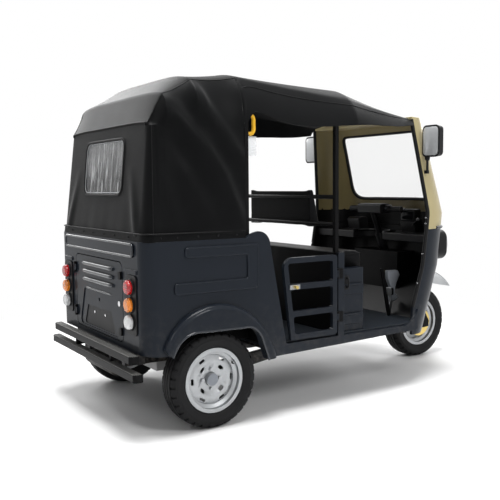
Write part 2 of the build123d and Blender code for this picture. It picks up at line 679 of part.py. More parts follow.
def hood_window_outline():
    """The rear window's rounded outline, ahead of which it is cut."""
    with BuildSketch(Plane.YZ.offset(REAR_X - 500)) as outline:
        with Locations((0, WINDOW_Z)):
            RectangleRounded(WINDOW_WIDTH, WINDOW_HEIGHT, WINDOW_CORNER)
    return outline.sketch


# The hood: two side curtains and a rear curtain below, the roof sheet above.
with BuildPart() as hood_curtains:
    for inset, mode in ((0, Mode.ADD), (HOOD_SHEET, Mode.SUBTRACT)):
        loft(sections=hood_plans(inset), ruled=True, mode=mode)

with BuildPart() as hood_sides:
    add(hood_curtains.part)
    seam_y = HOOD_TOP_REAR_HALF - HOOD_TOP_CORNER - 2
    block(REAR_X - 500, REAR_X, -seam_y, seam_y, BELT_Z - 1, HOOD_SEAM_Z + 1, Mode.SUBTRACT)
hood_sides.part.label = "hood_sides"
export_step(hood_sides.part, "parts/hood_sides.step")

with BuildPart() as hood_rear:
    add(hood_curtains.part)
    block(REAR_X - 500, REAR_X, -seam_y, seam_y, BELT_Z, HOOD_SEAM_Z, Mode.INTERSECT)
    extrude(hood_window_outline(), amount=400, mode=Mode.SUBTRACT)
hood_rear.part.label = "hood_rear"
export_step(hood_rear.part, "parts/hood_rear.step")

with BuildPart() as hood_window:
    for inset, mode in ((3, Mode.ADD), (6, Mode.SUBTRACT)):
        loft(sections=hood_plans(inset), ruled=True, mode=mode)
    extrude(hood_window_outline(), amount=400, mode=Mode.INTERSECT)
hood_window.part.label = "hood_window"
export_step(hood_window.part, "parts/hood_window.step")

with BuildPart() as hood_roof:
    loft(sections=[bow_band(bow, 0, HOOD_SHEET, bow.eave_z) for bow in BOWS], ruled=True)
hood_roof.part.label = "hood_roof"
export_step(hood_roof.part, "parts/hood_roof.step")

with BuildPart() as hood_frame:
    main_bow = BOWS[4]._replace(x=REAR_X + 208)
    extrude(bow_band(main_bow, HOOP_INSET, HOOP_INSET + HOOP_WIDTH, ARCH_ROOF_Z), amount=HOOP_WIDTH)
    hoop_x = PARTITION_X + SHEET / 2 - HOOP_WIDTH / 2
    seat_bow = Bow(hoop_x, 6, 1561, 72, 1708, 1793, 14)
    extrude(bow_band(seat_bow, HOOP_INSET, HOOP_INSET + HOOP_WIDTH, PARTITION_TOP), amount=HOOP_WIDTH)
    for z in GRAB_RAIL_HEIGHTS:
        rod(PARTITION_X + SHEET / 2, -SIDE_INSIDE + 15, SIDE_INSIDE - 15, z, HOOP_WIDTH / 2)
hood_frame.part.label = "hood_frame"
export_step(hood_frame.part, "parts/hood_frame.step")

with BuildPart() as tail_lamp_plates:
    with BuildSketch(Plane.YZ.offset(REAR_WALL_X)):
        with Locations((-LAMP_Y, LAMP_PLATE_Z), (LAMP_Y, LAMP_PLATE_Z)):
            RectangleRounded(LAMP_PLATE_WIDTH, LAMP_PLATE_HEIGHT, 22)
    extrude(amount=-LAMP_PLATE)
tail_lamp_plates.part.label = "tail_lamp_plates"
export_step(tail_lamp_plates.part, "parts/tail_lamp_plates.step")

for lamp in LAMPS:
    with BuildPart() as tail_lamp:
        with BuildSketch(Plane.YZ.offset(REAR_WALL_X - LAMP_PLATE)):
            with Locations((-LAMP_Y, lamp.z), (LAMP_Y, lamp.z)):
                Circle(LAMP_RADIUS)
        extrude(amount=-LAMP_DEPTH)
        fillet(tail_lamp.edges().group_by(Axis.X)[0], LAMP_DEPTH / 2)
    tail_lamp.part.label = lamp.name
    export_step(tail_lamp.part, "parts/" + lamp.name + ".step")

# Two step rails with grooved tops and cut corners, on brackets from the chassis.
with BuildPart() as bumper:
    for rail in BUMPER_RAILS:
        half = BODY_HALF_WIDTH - rail.inset
        with BuildSketch(Plane.XZ.offset(-half)):
            with Locations((BUMPER_X, rail.z)):
                RectangleRounded(BUMPER_DEPTH, BUMPER_HEIGHT, BUMPER_ROUNDING)
            with Locations((BUMPER_X, rail.z + BUMPER_HEIGHT / 2)):
                with GridLocations(GROOVE_PITCH, 0, GROOVES, 1):
                    Circle(GROOVE_RADIUS, mode=Mode.SUBTRACT)
        extrude(amount=2 * half)
        edge_x = BUMPER_X - BUMPER_DEPTH / 2
        with BuildSketch(Plane.XY.offset(rail.z - BUMPER_HEIGHT / 2)):
            for sign in (1, -1):
                with BuildLine():
                    Polyline(
                        (edge_x, sign * (half - BUMPER_CUT)), (edge_x, sign * half),
                        (edge_x + BUMPER_CUT, sign * half), close=True,
                    )
                make_face()
        extrude(amount=BUMPER_HEIGHT, mode=Mode.SUBTRACT)
    for sign in (1, -1):
        y0 = sign * (RAIL_HALF - 8)
        y1 = sign * (RAIL_HALF + 8)
        block(BUMPER_X, BUMPER_X + 30, y0, y1, BUMPER_RAILS[1].z, BUMPER_RAILS[0].z)
        block(BUMPER_X, RAIL_REAR_X, y0, y1, RAIL_LOW + 35, RAIL_TOP + 2)
bumper.part.label = "bumper"
export_step(bumper.part, "parts/bumper.step")

# Mirrors on bent stems from the windscreen pillars.
with BuildPart() as mirrors:
    with BuildSketch(Plane.YZ.offset(MIRROR_X - 20)):
        with Locations((-MIRROR_Y, 1488), (MIRROR_Y, 1488)):
            RectangleRounded(138, 193, 32)
    extrude(amount=40, taper=8)
    for sign in (1, -1):
        stem_y = sign * (MIRROR_Y - 44)
        post(MIRROR_X, stem_y, 1300, 1400, 8)
        block(MIRROR_X - 8, MIRROR_X + 8, stem_y - sign * 30, stem_y + sign * 8, 1292, 1312)
    add(windscreen_frame.part, mode=Mode.SUBTRACT)
mirrors.part.label = "mirrors"
export_step(mirrors.part, "parts/mirrors.step")

# Power unit and rear suspension.
with BuildPart() as engine:
    block(REAR_X - 230, REAR_X + 110, -180, 180, 300, 580)
    block(REAR_X - 80, REAR_X + 80, -90, 90, 200, 320)
    block(REAR_X - 30, REAR_X + 30, -230, 230, 310, 350)
    rod(REAR_X, -ARM_INNER_Y, ARM_INNER_Y, TYRE_RADIUS, AXLE_RADIUS - 1)
engine.part.label = "engine"
export_step(engine.part, "parts/engine.step")

with BuildPart() as rear_suspension:
    for sign in (1, -1):
        arm = [(-35, 225), (-35, 280), (0, 300), (90, 300), (400, 330), (445, 330), (445, 275), (30, 215)]
        outer = sign * ARM_OUTER_Y
        low, high = sorted((-sign * ARM_INNER_Y, -sign * ARM_OUTER_Y))
        side_plate(rear(arm), low, high, corner=10)
        rod(REAR_X, outer, sign * (WHEEL_Y + 14), TYRE_RADIUS, AXLE_RADIUS)
        rod(REAR_X, outer, sign * (ARM_OUTER_Y + DRUM_WIDTH), TYRE_RADIUS, BRAKE_RADIUS)
        post(REAR_X + 70, sign * (ARM_OUTER_Y - ARM_THICKNESS / 2), 290, ARCH_ROOF_Z - SHEET, 14)
rear_suspension.part.label = "rear_suspension"
export_step(rear_suspension.part, "parts/rear_suspension.step")

with BuildPart() as silencer:
    rod(REAR_X - 290, -60, 340, 245, 50)
    fillet(silencer.edges().filter_by(GeomType.CIRCLE), 12)
    block(REAR_X - 250, REAR_X - 80, -45, -15, 245, 275)
silencer.part.label = "silencer"
export_step(silencer.part, "parts/silencer.step")

# Door hinges: the fixed leaves and pins, and the knuckles that the doors carry.
with BuildPart() as door_hinges:
    for sign in (1, -1):
        for z in HINGE_HEIGHTS:
            post(HINGE_X, sign * HINGE_Y, z - HINGE_HALF, z + HINGE_HALF, PIN_RADIUS)
            for low in (z - HINGE_HALF, z + KNUCKLE_HALF + 1):
                post(HINGE_X, sign * HINGE_Y, low, low + SHEET, HINGE_RADIUS)
                block(HINGE_X, HINGE_X + 9, sign * HINGE_Y, sign * BODY_HALF_WIDTH, low, low + SHEET)
            block(
                HINGE_X + 9, HINGE_X + 40, sign * (HINGE_Y - 2), sign * BODY_HALF_WIDTH,
                z - HINGE_HALF, z + HINGE_HALF,
            )
    for z in REAR_HINGE_HEIGHTS:
        post(REAR_HINGE_X, REAR_HINGE_Y, z - HINGE_HALF, z + HINGE_HALF, PIN_RADIUS)
        for low in (z - HINGE_HALF, z + KNUCKLE_HALF + 1):
            post(REAR_HINGE_X, REAR_HINGE_Y, low, low + SHEET, HINGE_RADIUS)
            block(REAR_HINGE_X, REAR_WALL_X, REAR_HINGE_Y, REAR_HINGE_Y + 9, low, low + SHEET)
        block(
            REAR_HINGE_X + 2, REAR_WALL_X, REAR_HINGE_Y + 9, REAR_HINGE_Y + 36, z - HINGE_HALF, z + HINGE_HALF
        )
door_hinges.part.label = "door_hinges"
export_step(door_hinges.part, "parts/door_hinges.step")

# A door is a bent tube frame with cross bars and a slam latch on its free edge.
with BuildPart() as door_right:
    edge = [(DOOR_EDGE_X, DOOR_LOW), (DOOR_EDGE_X, DOOR_TOP)]
    edge += [(REAR_X + 416, DOOR_TOP), (REAR_X + 470, DOOR_LOW)]
    lean = (edge[3][0] - edge[2][0]) / (DOOR_TOP - DOOR_LOW)
    with BuildSketch(Plane.XZ.offset(DOOR_OUTSIDE - DOOR_THICKNESS)) as frame:
        with BuildLine():
            Polyline(*edge, close=True)
        make_face()
        fillet(frame.vertices().sort_by(Axis.X)[0], 60)
        fillet(frame.vertices().group_by(Axis.X)[-1], 20)
    extrude(amount=DOOR_THICKNESS)
    levels = [DOOR_LOW + DOOR_TUBE / 2] + DOOR_BARS + [DOOR_TOP - DOOR_TUBE / 2]
    for low, high in zip(levels, levels[1:]):
        z0 = low + DOOR_TUBE / 2
        z1 = high - DOOR_TUBE / 2
        left0 = edge[3][0] - lean * (z0 - DOOR_LOW) + DOOR_TUBE
        left1 = edge[3][0] - lean * (z1 - DOOR_LOW) + DOOR_TUBE
        right = DOOR_EDGE_X - DOOR_TUBE
        with BuildSketch(Plane.XZ.offset(DOOR_OUTSIDE - DOOR_THICKNESS)) as gap:
            with BuildLine():
                Polyline((left0, z0), (right, z0), (right, z1), (left1, z1), close=True)
            make_face()
            fillet(gap.vertices(), 14)
        extrude(amount=DOOR_THICKNESS, mode=Mode.SUBTRACT)
    latch_x = edge[3][0] - lean * (DOOR_BARS[1] - DOOR_LOW) + 2 * DOOR_TUBE
    block(
        latch_x - 36, latch_x + 30, -DOOR_OUTSIDE - 6, -DOOR_OUTSIDE + 2,
        DOOR_BARS[1] - DOOR_TUBE / 2 + 3, DOOR_BARS[1] + DOOR_TUBE / 2 - 3,
    )
    rod(latch_x, -DOOR_OUTSIDE - 24, -DOOR_OUTSIDE - 5, DOOR_BARS[1], 9)
    for z in HINGE_HEIGHTS:
        block(DOOR_EDGE_X - 10, HINGE_X, -HINGE_Y - 4, -HINGE_Y + 4, z - KNUCKLE_HALF, z + KNUCKLE_HALF)
        post(HINGE_X, -HINGE_Y, z - KNUCKLE_HALF, z + KNUCKLE_HALF, HINGE_RADIUS)
        post(
            HINGE_X, -HINGE_Y, z - KNUCKLE_HALF - 1, z + KNUCKLE_HALF + 1, PIN_RADIUS + RUNNING_GAP,
            Mode.SUBTRACT,
        )
door_right.part.label = "door_right"
export_step(door_right.part, "parts/door_right.step")

with BuildPart() as door_left:
    add(mirror(door_right.part, about=Plane.XZ))
door_left.part.label = "door_left"
export_step(door_left.part, "parts/door_left.step")

# The engine door: louvres above, a recess for the number plate below, catches and a lock.
with BuildPart() as rear_door:
    with BuildSketch(Plane.YZ.offset(REAR_WALL_X)):
        with Locations((0, (REAR_DOOR_LOW + REAR_DOOR_TOP) / 2)):
            RectangleRounded(2 * REAR_DOOR_HALF, REAR_DOOR_TOP - REAR_DOOR_LOW, REAR_DOOR_CORNER)
    extrude(amount=WALL)
    with BuildSketch(Plane.YZ.offset(REAR_WALL_X)):
        for z in LOUVRE_HEIGHTS:
            with Locations((0, z)):
                RectangleRounded(2 * LOUVRE_HALF, 22, 10)
    extrude(amount=-9, taper=30)
    with BuildSketch(Plane.YZ.offset(REAR_WALL_X)) as recess:
        with BuildLine():
            top, foot = REAR_DOOR_HALF - 122, REAR_DOOR_HALF - 45
            Polyline((-top, 665), (top, 665), (foot, 455), (-foot, 455), close=True)
        make_face()
        fillet(recess.vertices(), 24)
    extrude(amount=5, mode=Mode.SUBTRACT)
    with BuildSketch(Plane.YZ.offset(REAR_WALL_X + 5)) as plate_recess:
        with BuildLine():
            top, foot = REAR_DOOR_HALF - 160, REAR_DOOR_HALF - 108
            Polyline((-top, 573), (top, 573), (foot, 463), (-foot, 463), close=True)
        make_face()
        fillet(plate_recess.vertices(), 14)
    extrude(amount=4, mode=Mode.SUBTRACT)
    with BuildSketch(Plane.YZ.offset(REAR_WALL_X)):
        with Locations((-PLATE_HOLE_Y, PLATE_HOLE_Z), (PLATE_HOLE_Y, PLATE_HOLE_Z)):
            Circle(PLATE_HOLE_RADIUS)
        with Locations((0, 620)):
            Circle(10)
    extrude(amount=WALL, mode=Mode.SUBTRACT)
    with BuildSketch(Plane.YZ.offset(REAR_WALL_X)):
        with Locations((24 - REAR_DOOR_HALF, 637)):
            Circle(14)
        catch_y = 18 - REAR_DOOR_HALF
        with Locations((catch_y, 781), (catch_y, 494)):
            RectangleRounded(30, 40, 8)
    extrude(amount=-10)
    for z in REAR_HINGE_HEIGHTS:
        block(
            REAR_HINGE_X - 4, REAR_WALL_X + 1, REAR_DOOR_HALF - 14, REAR_HINGE_Y - 3,
            z - KNUCKLE_HALF, z + KNUCKLE_HALF,
        )
        post(REAR_HINGE_X, REAR_HINGE_Y, z - KNUCKLE_HALF, z + KNUCKLE_HALF, HINGE_RADIUS)
        post(
            REAR_HINGE_X, REAR_HINGE_Y, z - KNUCKLE_HALF - 1, z + KNUCKLE_HALF + 1, PIN_RADIUS + RUNNING_GAP,
            Mode.SUBTRACT,
        )
rear_door.part.label = "rear_door"
export_step(rear_door.part, "parts/rear_door.step")

# Steering: the stem with its one-sided leg and axle, the bar, its cover and the mudguard.
with BuildPart() as steering_stem:
    with BuildSketch(steer_plane(CROWN_Z)):
        Circle(STEM_RADIUS)
    extrude(amount=steer_length(CROWN_Z, BAR_Z - 24))
    with BuildSketch(steer_plane(CROWN_Z - 16)):
        with Locations((-46, 0)):
            RectangleRounded(152, 64, 20)
    extrude(amount=36)
    leg = [(-232, 540), (-215, 578), (-172, 580), (-110, 500), (30, 262), (25, 222), (-25, 218), (-60, 250)]
    side_plate(front(leg), LEG_Y, LEG_Y + LEG_THICKNESS)
    rod(FRONT_X, -LEG_Y - LEG_THICKNESS, 14, TYRE_RADIUS, AXLE_RADIUS)
steering_stem.part.label = "steering_stem"
export_step(steering_stem.part, "parts/steering_stem.step")

BAR_X = FRONT_X - STEER_LEAD - (BAR_Z - TYRE_RADIUS) * tan(radians(STEER_RAKE)) + 30
with BuildPart() as handlebar:
    rod(BAR_X, -BAR_HALF, BAR_HALF, BAR_Z, BAR_RADIUS)
    for sign in (1, -1):
        rod(BAR_X, sign * (BAR_HALF - GRIP_LENGTH), sign * BAR_HALF, BAR_Z, GRIP_RADIUS)
        block(BAR_X, BAR_X + 40, sign * 118, sign * 132, BAR_Z - 7, BAR_Z + 7)
        rod(BAR_X + 40, sign * 112, sign * (BAR_HALF - 14), BAR_Z, 6)
handlebar.part.label = "handlebar"
export_step(handlebar.part, "parts/handlebar.step")

with BuildPart() as handlebar_cover:
    block(BAR_X - 62, BAR_X + 30, -112, 112, BAR_Z - 30, BAR_Z + 35)
    fillet(handlebar_cover.edges().filter_by(Axis.Y), 18)
    rod(BAR_X, -BAR_HALF, BAR_HALF, BAR_Z, BAR_RADIUS, Mode.SUBTRACT)
    add(steering_stem.part, mode=Mode.SUBTRACT)
handlebar_cover.part.label = "handlebar_cover"
export_step(handlebar_cover.part, "parts/handlebar_cover.step")

# A rolled guard with turned-down edges, on a stay from the leg.
with BuildPart() as front_mudguard:
    with BuildSketch(Plane.XZ.offset(-GUARD_HALF)):
        with BuildLine():
            for radius in (GUARD_RADIUS, GUARD_RADIUS + GUARD_SHEET):
                CenterArc((FRONT_X, TYRE_RADIUS), radius, GUARD_FRONT, GUARD_REAR - GUARD_FRONT)
            for angle in (GUARD_FRONT, GUARD_REAR):
                c = cos(radians(angle))
                s = sin(radians(angle))
                near = (FRONT_X + GUARD_RADIUS * c, TYRE_RADIUS + GUARD_RADIUS * s)
                outer = GUARD_RADIUS + GUARD_SHEET
                Line(near, (FRONT_X + outer * c, TYRE_RADIUS + outer * s))
        make_face()
    extrude(amount=2 * GUARD_HALF)
    fillet(front_mudguard.edges().filter_by(GeomType.CIRCLE).group_by(SortBy.LENGTH)[-1], 4)
    stay = [(-60, 415), (-90, 420)]
    for angle in (GUARD_REAR - 1, GUARD_REAR - 10):
        c = cos(radians(angle))
        s = sin(radians(angle))
        stay.append((GUARD_RADIUS * c, TYRE_RADIUS + GUARD_RADIUS * s))
    side_plate(front(stay), GUARD_HALF - 2, LEG_Y)
front_mudguard.part.label = "front_mudguard"
export_step(front_mudguard.part, "parts/front_mudguard.step")

with BuildPart() as front_brake:
    rod(FRONT_X, -LEG_Y, -62, TYRE_RADIUS, 30)
    rod(FRONT_X, -62, -50, TYRE_RADIUS, BRAKE_RADIUS)
    rod(FRONT_X, -LEG_Y - 1, -49, TYRE_RADIUS, AXLE_RADIUS, Mode.SUBTRACT)
front_brake.part.label = "front_brake"
export_step(front_brake.part, "parts/front_brake.step")

# Wheels: a tyre on a pressed rim, both turned about the axle.
for wheel in WHEELS:
    hub = Plane(origin=(wheel.x, wheel.y, TYRE_RADIUS), x_dir=(0, wheel.side, 0), z_dir=(1, 0, 0))
    axle = Axis((wheel.x, wheel.y, TYRE_RADIUS), (0, 1, 0))
    half = TYRE_WIDTH / 2
    heel = RIM_WIDTH / 2 - RIM_LIP - 0.5
    seat = BEAD_RADIUS + 0.2
    flank = [(heel, RIM_RADIUS + 2), (half - 4, 0.6 * RIM_RADIUS + 0.4 * TYRE_RADIUS)]
    flank += [(half, TYRE_RADIUS - 38), (half - 4, TYRE_RADIUS - 18)]
    flank += [(half - 17, TYRE_RADIUS - 5), (0, TYRE_RADIUS)]
    with BuildPart() as tyre:
        with BuildSketch(hub):
            with BuildLine():
                Polyline((0, seat), (heel, seat), *flank, close=True)
            make_face()
            mirror(about=Plane.YZ)
        revolve(axis=axle)
    tyre.part.label = wheel.name + "_tyre"
    export_step(tyre.part, "parts/" + wheel.name + "_tyre.step")

    edge = RIM_WIDTH / 2
    under = BEAD_RADIUS - RIM_METAL
    with BuildPart() as rim:
        with BuildSketch(hub):
            with BuildLine():
                Polyline(
                    (-edge, RIM_RADIUS), (RIM_LIP - edge, RIM_RADIUS), (RIM_LIP - edge, BEAD_RADIUS),
                    (-30, BEAD_RADIUS), (-22, WELL_RADIUS), (22, WELL_RADIUS), (30, BEAD_RADIUS),
                    (edge - RIM_LIP, BEAD_RADIUS), (edge - RIM_LIP, RIM_RADIUS), (edge, RIM_RADIUS),
                    (edge, under), (34, under), (26, WELL_RADIUS - RIM_METAL),
                    (-26, WELL_RADIUS - RIM_METAL), (-34, under), (-edge, under), close=True,
                )
            make_face()
            with BuildLine():
                disc = [(16, 130), (22, 130), (31, 100), (31, 92), (16, 60), (16, 37), (32, 34), (34, 0)]
                disc += [(-40, 0), (-40, 30), (10, 30), (10, 60), (25, 92), (25, 100)]
                Polyline(*disc, close=True)
            make_face()
        revolve(axis=axle)
        face = Plane(origin=(wheel.x, wheel.y, TYRE_RADIUS), x_dir=(1, 0, 0), z_dir=(0, wheel.side, 0))
        with BuildSketch(face):
            with PolarLocations(113, 6):
                SlotOverall(34, 13, rotation=90)
            with PolarLocations(76, 4, 45):
                SlotOverall(30, 18, rotation=90)
        extrude(amount=40, mode=Mode.SUBTRACT)
        with BuildSketch(face.offset(16)):
            with PolarLocations(50, 4):
                RegularPolygon(10, 6)
        extrude(amount=12)
        with BuildSketch(face.offset(-41)):
            Circle(AXLE_RADIUS + RUNNING_GAP)
        extrude(amount=61, mode=Mode.SUBTRACT)
    rim.part.label = wheel.name + "_rim"
    export_step(rim.part, "parts/" + wheel.name + "_rim.step")
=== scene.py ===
import json
import math
from collections import namedtuple

import bpy
from mathutils import Matrix, Vector


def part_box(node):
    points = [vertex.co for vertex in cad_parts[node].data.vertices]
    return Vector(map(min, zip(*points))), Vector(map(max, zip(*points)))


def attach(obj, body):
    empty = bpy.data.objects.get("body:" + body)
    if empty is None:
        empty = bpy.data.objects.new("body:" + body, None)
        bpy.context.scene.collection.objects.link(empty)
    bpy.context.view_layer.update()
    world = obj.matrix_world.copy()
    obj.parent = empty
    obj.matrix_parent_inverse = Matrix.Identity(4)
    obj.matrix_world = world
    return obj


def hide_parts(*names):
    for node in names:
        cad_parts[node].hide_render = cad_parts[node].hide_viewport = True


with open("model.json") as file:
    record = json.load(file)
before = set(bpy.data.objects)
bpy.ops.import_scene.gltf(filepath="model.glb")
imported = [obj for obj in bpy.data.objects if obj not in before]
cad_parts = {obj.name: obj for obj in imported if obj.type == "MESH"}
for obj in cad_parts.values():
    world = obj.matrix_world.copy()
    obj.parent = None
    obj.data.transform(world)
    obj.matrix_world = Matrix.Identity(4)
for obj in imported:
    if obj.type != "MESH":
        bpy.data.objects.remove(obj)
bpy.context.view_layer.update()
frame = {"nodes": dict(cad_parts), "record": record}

# Metres. X runs forward, Y to the left, Z up, and the ground is Z = 0.
REAR_X = -0.933
FRONT_X = 1.077
RIGHT, LEFT = -1, 1
SIDES = (("right", RIGHT), ("left", LEFT))
AFT, AHEAD, ACROSS_LEFT, UPWARD = (-1, 0, 0), (1, 0, 0), (0, 1, 0), (0, 0, 1)
MERGE = 0.00002
FLAT_ANGLE = math.radians(0.6)
DRESS_SHADING = 40
SHEET_SHADING = 60
NODES = frame["nodes"]
BODIES = frame["record"]["behaviour"]["bodies"]
BODY_OF = {node: body for body, nodes in BODIES.items() for node in nodes}


class Value:
    """A shader socket that takes plain sums."""

    def __init__(self, nodes, socket):
        self.nodes = nodes
        self.socket = socket

    def sum(self, operation, first, second=0.0):
        return self.nodes.node("ShaderNodeMath", {0: first, 1: second}, operation=operation)

    def __add__(self, other):
        return self.sum("ADD", self, other)

    def __radd__(self, other):
        return self.sum("ADD", other, self)

    def __sub__(self, other):
        return self.sum("SUBTRACT", self, other)

    def __rsub__(self, other):
        return self.sum("SUBTRACT", other, self)

    def __mul__(self, other):
        return self.sum("MULTIPLY", self, other)

    def __rmul__(self, other):
        return self.sum("MULTIPLY", other, self)

    def sine(self):
        return self.sum("SINE", self)

    def ramp(self, low, high):
        """0 below low, 1 above high, and smooth between."""
        limits = {0: self, 1: low, 2: high, 3: 0.0, 4: 1.0}
        return self.nodes.node("ShaderNodeMapRange", limits, interpolation_type="SMOOTHSTEP")


class Nodes:
    """A node tree, with one way to make a node and one to join a value to a socket."""

    def __init__(self, tree):
        self.tree = tree

    def join(self, value, socket):
        if isinstance(value, Value):
            self.tree.links.new(value.socket, socket)
        elif hasattr(value, "__len__") and socket.type == "RGBA":
            socket.default_value = (*value[:3], 1.0)
        else:
            socket.default_value = value

    def node(self, kind, inputs, out=0, **settings):
        made = self.tree.nodes.new(kind)
        for setting, value in settings.items():
            setattr(made, setting, value)
        for key, value in inputs.items():
            self.join(value, made.inputs[key])
        return Value(self, made.outputs[out])

    def seen_directly(self):
        """1 on rays from the camera, from mirrors and through glass, which show a plain white background."""
        rays = ("Is Camera Ray", "Is Glossy Ray", "Is Transmission Ray")
        camera_ray, mirror_ray, glass_ray = (self.node("ShaderNodeLightPath", {}, out=ray) for ray in rays)
        return self.node("ShaderNodeClamp", {0: camera_ray + mirror_ray + glass_ray})


class Finish(Nodes):
    """One material, built by joining nodes to its main shader."""

    def __init__(self, name, colour, roughness, metallic=0.0, **sockets):
        self.name = name
        self.material = bpy.data.materials.new(name + "_finish")
        self.material.use_nodes = True
        super().__init__(self.material.node_tree)
        self.shader = self.tree.nodes["Principled BSDF"]
        self.put("Base Color", colour)
        self.put("Roughness", roughness)
        self.put("Metallic", metallic)
        for socket, value in sockets.items():
            self.put(socket.replace("_", " ").title().replace("Ior", "IOR"), value)
        self.place = self.node("ShaderNodeTexCoord", {}, out="Object")

    def put(self, socket, value):
        self.join(value, self.shader.inputs[socket])

    def axis(self, letter):
        return self.node("ShaderNodeSeparateXYZ", {0: self.place}, out="XYZ".index(letter))

    def stretched(self, x, y, z):
        """The place, scaled along each axis."""
        return self.node("ShaderNodeVectorMath", {0: self.place, 1: (x, y, z)}, operation="MULTIPLY")

    def noise(self, scale, detail=3.0, roughness=0.5, place=None):
        inputs = {"Vector": place or self.place, "Scale": scale, "Detail": detail, "Roughness": roughness}
        return self.node("ShaderNodeTexNoise", inputs)

    def cells(self, scale):
        inputs = {"Vector": self.place, "Scale": scale}
        return self.node("ShaderNodeTexVoronoi", inputs, feature="SMOOTH_F1")

    def mix(self, factor, first, second):
        return self.node("ShaderNodeMix", {0: factor, 6: first, 7: second}, out=2, data_type="RGBA")

    def shades(self, factor, colour, low, high):
        """The colour, varied between two shades of it."""
        return self.mix(factor, [low * channel for channel in colour], [high * channel for channel in colour])

    def bump(self, height, distance, strength):
        inputs = {"Strength": strength, "Distance": distance, "Height": height}
        self.put("Normal", self.node("ShaderNodeBump", inputs))


def vinyl(name, colour, roughness, grain):
    """Coated cloth: a fine leather grain, slow tone changes and a soft sheen."""
    finish = Finish(name, colour, roughness, specular_ior_level=0.035, sheen_weight=0.06, sheen_roughness=0.4)
    slow = finish.noise(5.0, 4.0)
    finish.put("Base Color", finish.shades(slow, colour, 0.75, 1.3))
    finish.put("Roughness", roughness - 0.08 + 0.12 * slow + 0.06 * finish.noise(60.0))
    finish.bump(finish.cells(grain) * 0.6 + finish.noise(grain * 0.6, 4.0) * 0.5, 0.0006, 0.55)
    return finish


DUST = (0.16, 0.145, 0.125)


def paint(name, colour, roughness, coat, orange_peel=0.12, dust=0.0):
    """Sprayed paint with a clear coat, a little uneven, dusty toward the ground."""
    finish = Finish(name, colour, roughness, coat_weight=coat, coat_roughness=0.06, specular_ior_level=0.06)
    slow = finish.noise(3.0, 3.0)
    low = 1.0 - finish.axis("Z").ramp(0.25, 0.75)
    dusty = low * finish.noise(28.0, 6.0, 0.6).ramp(0.42, 0.75) * dust
    clean = finish.shades(slow, colour, 0.93, 1.07)
    finish.put("Base Color", finish.mix(dusty, clean, DUST))
    finish.put("Roughness", roughness + 0.05 * slow + 0.3 * dusty)
    finish.bump(finish.noise(260.0, 1.0), 0.0004, orange_peel)
    return finish


def metal(name, colour, roughness, metallic=1.0, speckle=320.0, depth=0.15):
    """Bare, plated or silver painted metal with a slight unevenness."""
    finish = Finish(name, colour, roughness, metallic)
    wear = finish.noise(24.0, 5.0, 0.6)
    finish.put("Base Color", finish.shades(wear, colour, 0.82, 1.1))
    finish.put("Roughness", roughness - 0.06 + 0.14 * wear)
    finish.bump(finish.noise(speckle, 2.0), 0.0004, depth)
    return finish


def plastic(name, colour, roughness, grain=900.0, depth=0.25):
    """Moulded plastic or rubber with a fine grain."""
    finish = Finish(name, colour, roughness, specular_ior_level=0.14)
    slow = finish.noise(9.0, 4.0)
    finish.put("Base Color", finish.shades(slow, colour, 0.8, 1.25))
    finish.put("Roughness", roughness - 0.05 + 0.1 * slow)
    finish.bump(finish.noise(grain, 2.0), 0.0003, depth)
    return finish


RIB_PITCH = 900.0


def lens(name, colour):
    """Moulded lamp plastic with pressed ribs on its back."""
    finish = Finish(name, colour, 0.08, coat_weight=0.35, coat_roughness=0.04, transmission_weight=0.15)
    ribs = (finish.axis("Y") * RIB_PITCH).sine() * (finish.axis("Z") * RIB_PITCH).sine()
    inner = finish.noise(30.0).ramp(0.3, 0.7)
    finish.put("Base Color", finish.shades(inner, colour, 0.75, 1.1))
    finish.bump(ribs, 0.0012, 0.3)
    return finish


def clear(name, colour, alpha, roughness):
    """A thin clear sheet: mostly see-through, with its own shine."""
    finish = Finish(name, colour, roughness)
    finish.put("Alpha", alpha)
    return finish


def clear_window_vinyl():
    """The soft rear window: a grey sheet streaked up and down, with painted reflection: its light streaks and
    lighter upper part stand in for light on the creases.
    """
    finish = Finish("clear_vinyl", (0.2, 0.21, 0.22), 0.12)
    streaks = finish.noise(1.0, 4.0, 0.55, finish.stretched(4.0, 42.0, 5.0))
    # Painted reflection: the window's upper part is made lighter by height, and light streaks follow the
    # creases.
    band = finish.axis("Z").ramp(1.19, 1.42)
    reflection_patches = finish.noise(9.0, 3.0) * 0.7 + band * 0.45
    painted_reflection = streaks.ramp(0.52, 0.70) * 0.75 + reflection_patches.ramp(0.35, 0.85) * 0.30
    finish.put("Base Color", finish.mix(painted_reflection, (0.02, 0.021, 0.023), (0.62, 0.63, 0.64)))
    finish.put("Alpha", 0.62 + 0.25 * streaks)
    finish.put("Roughness", 0.1 + 0.2 * streaks)
    finish.bump(streaks, 0.006, 0.6)
    return finish


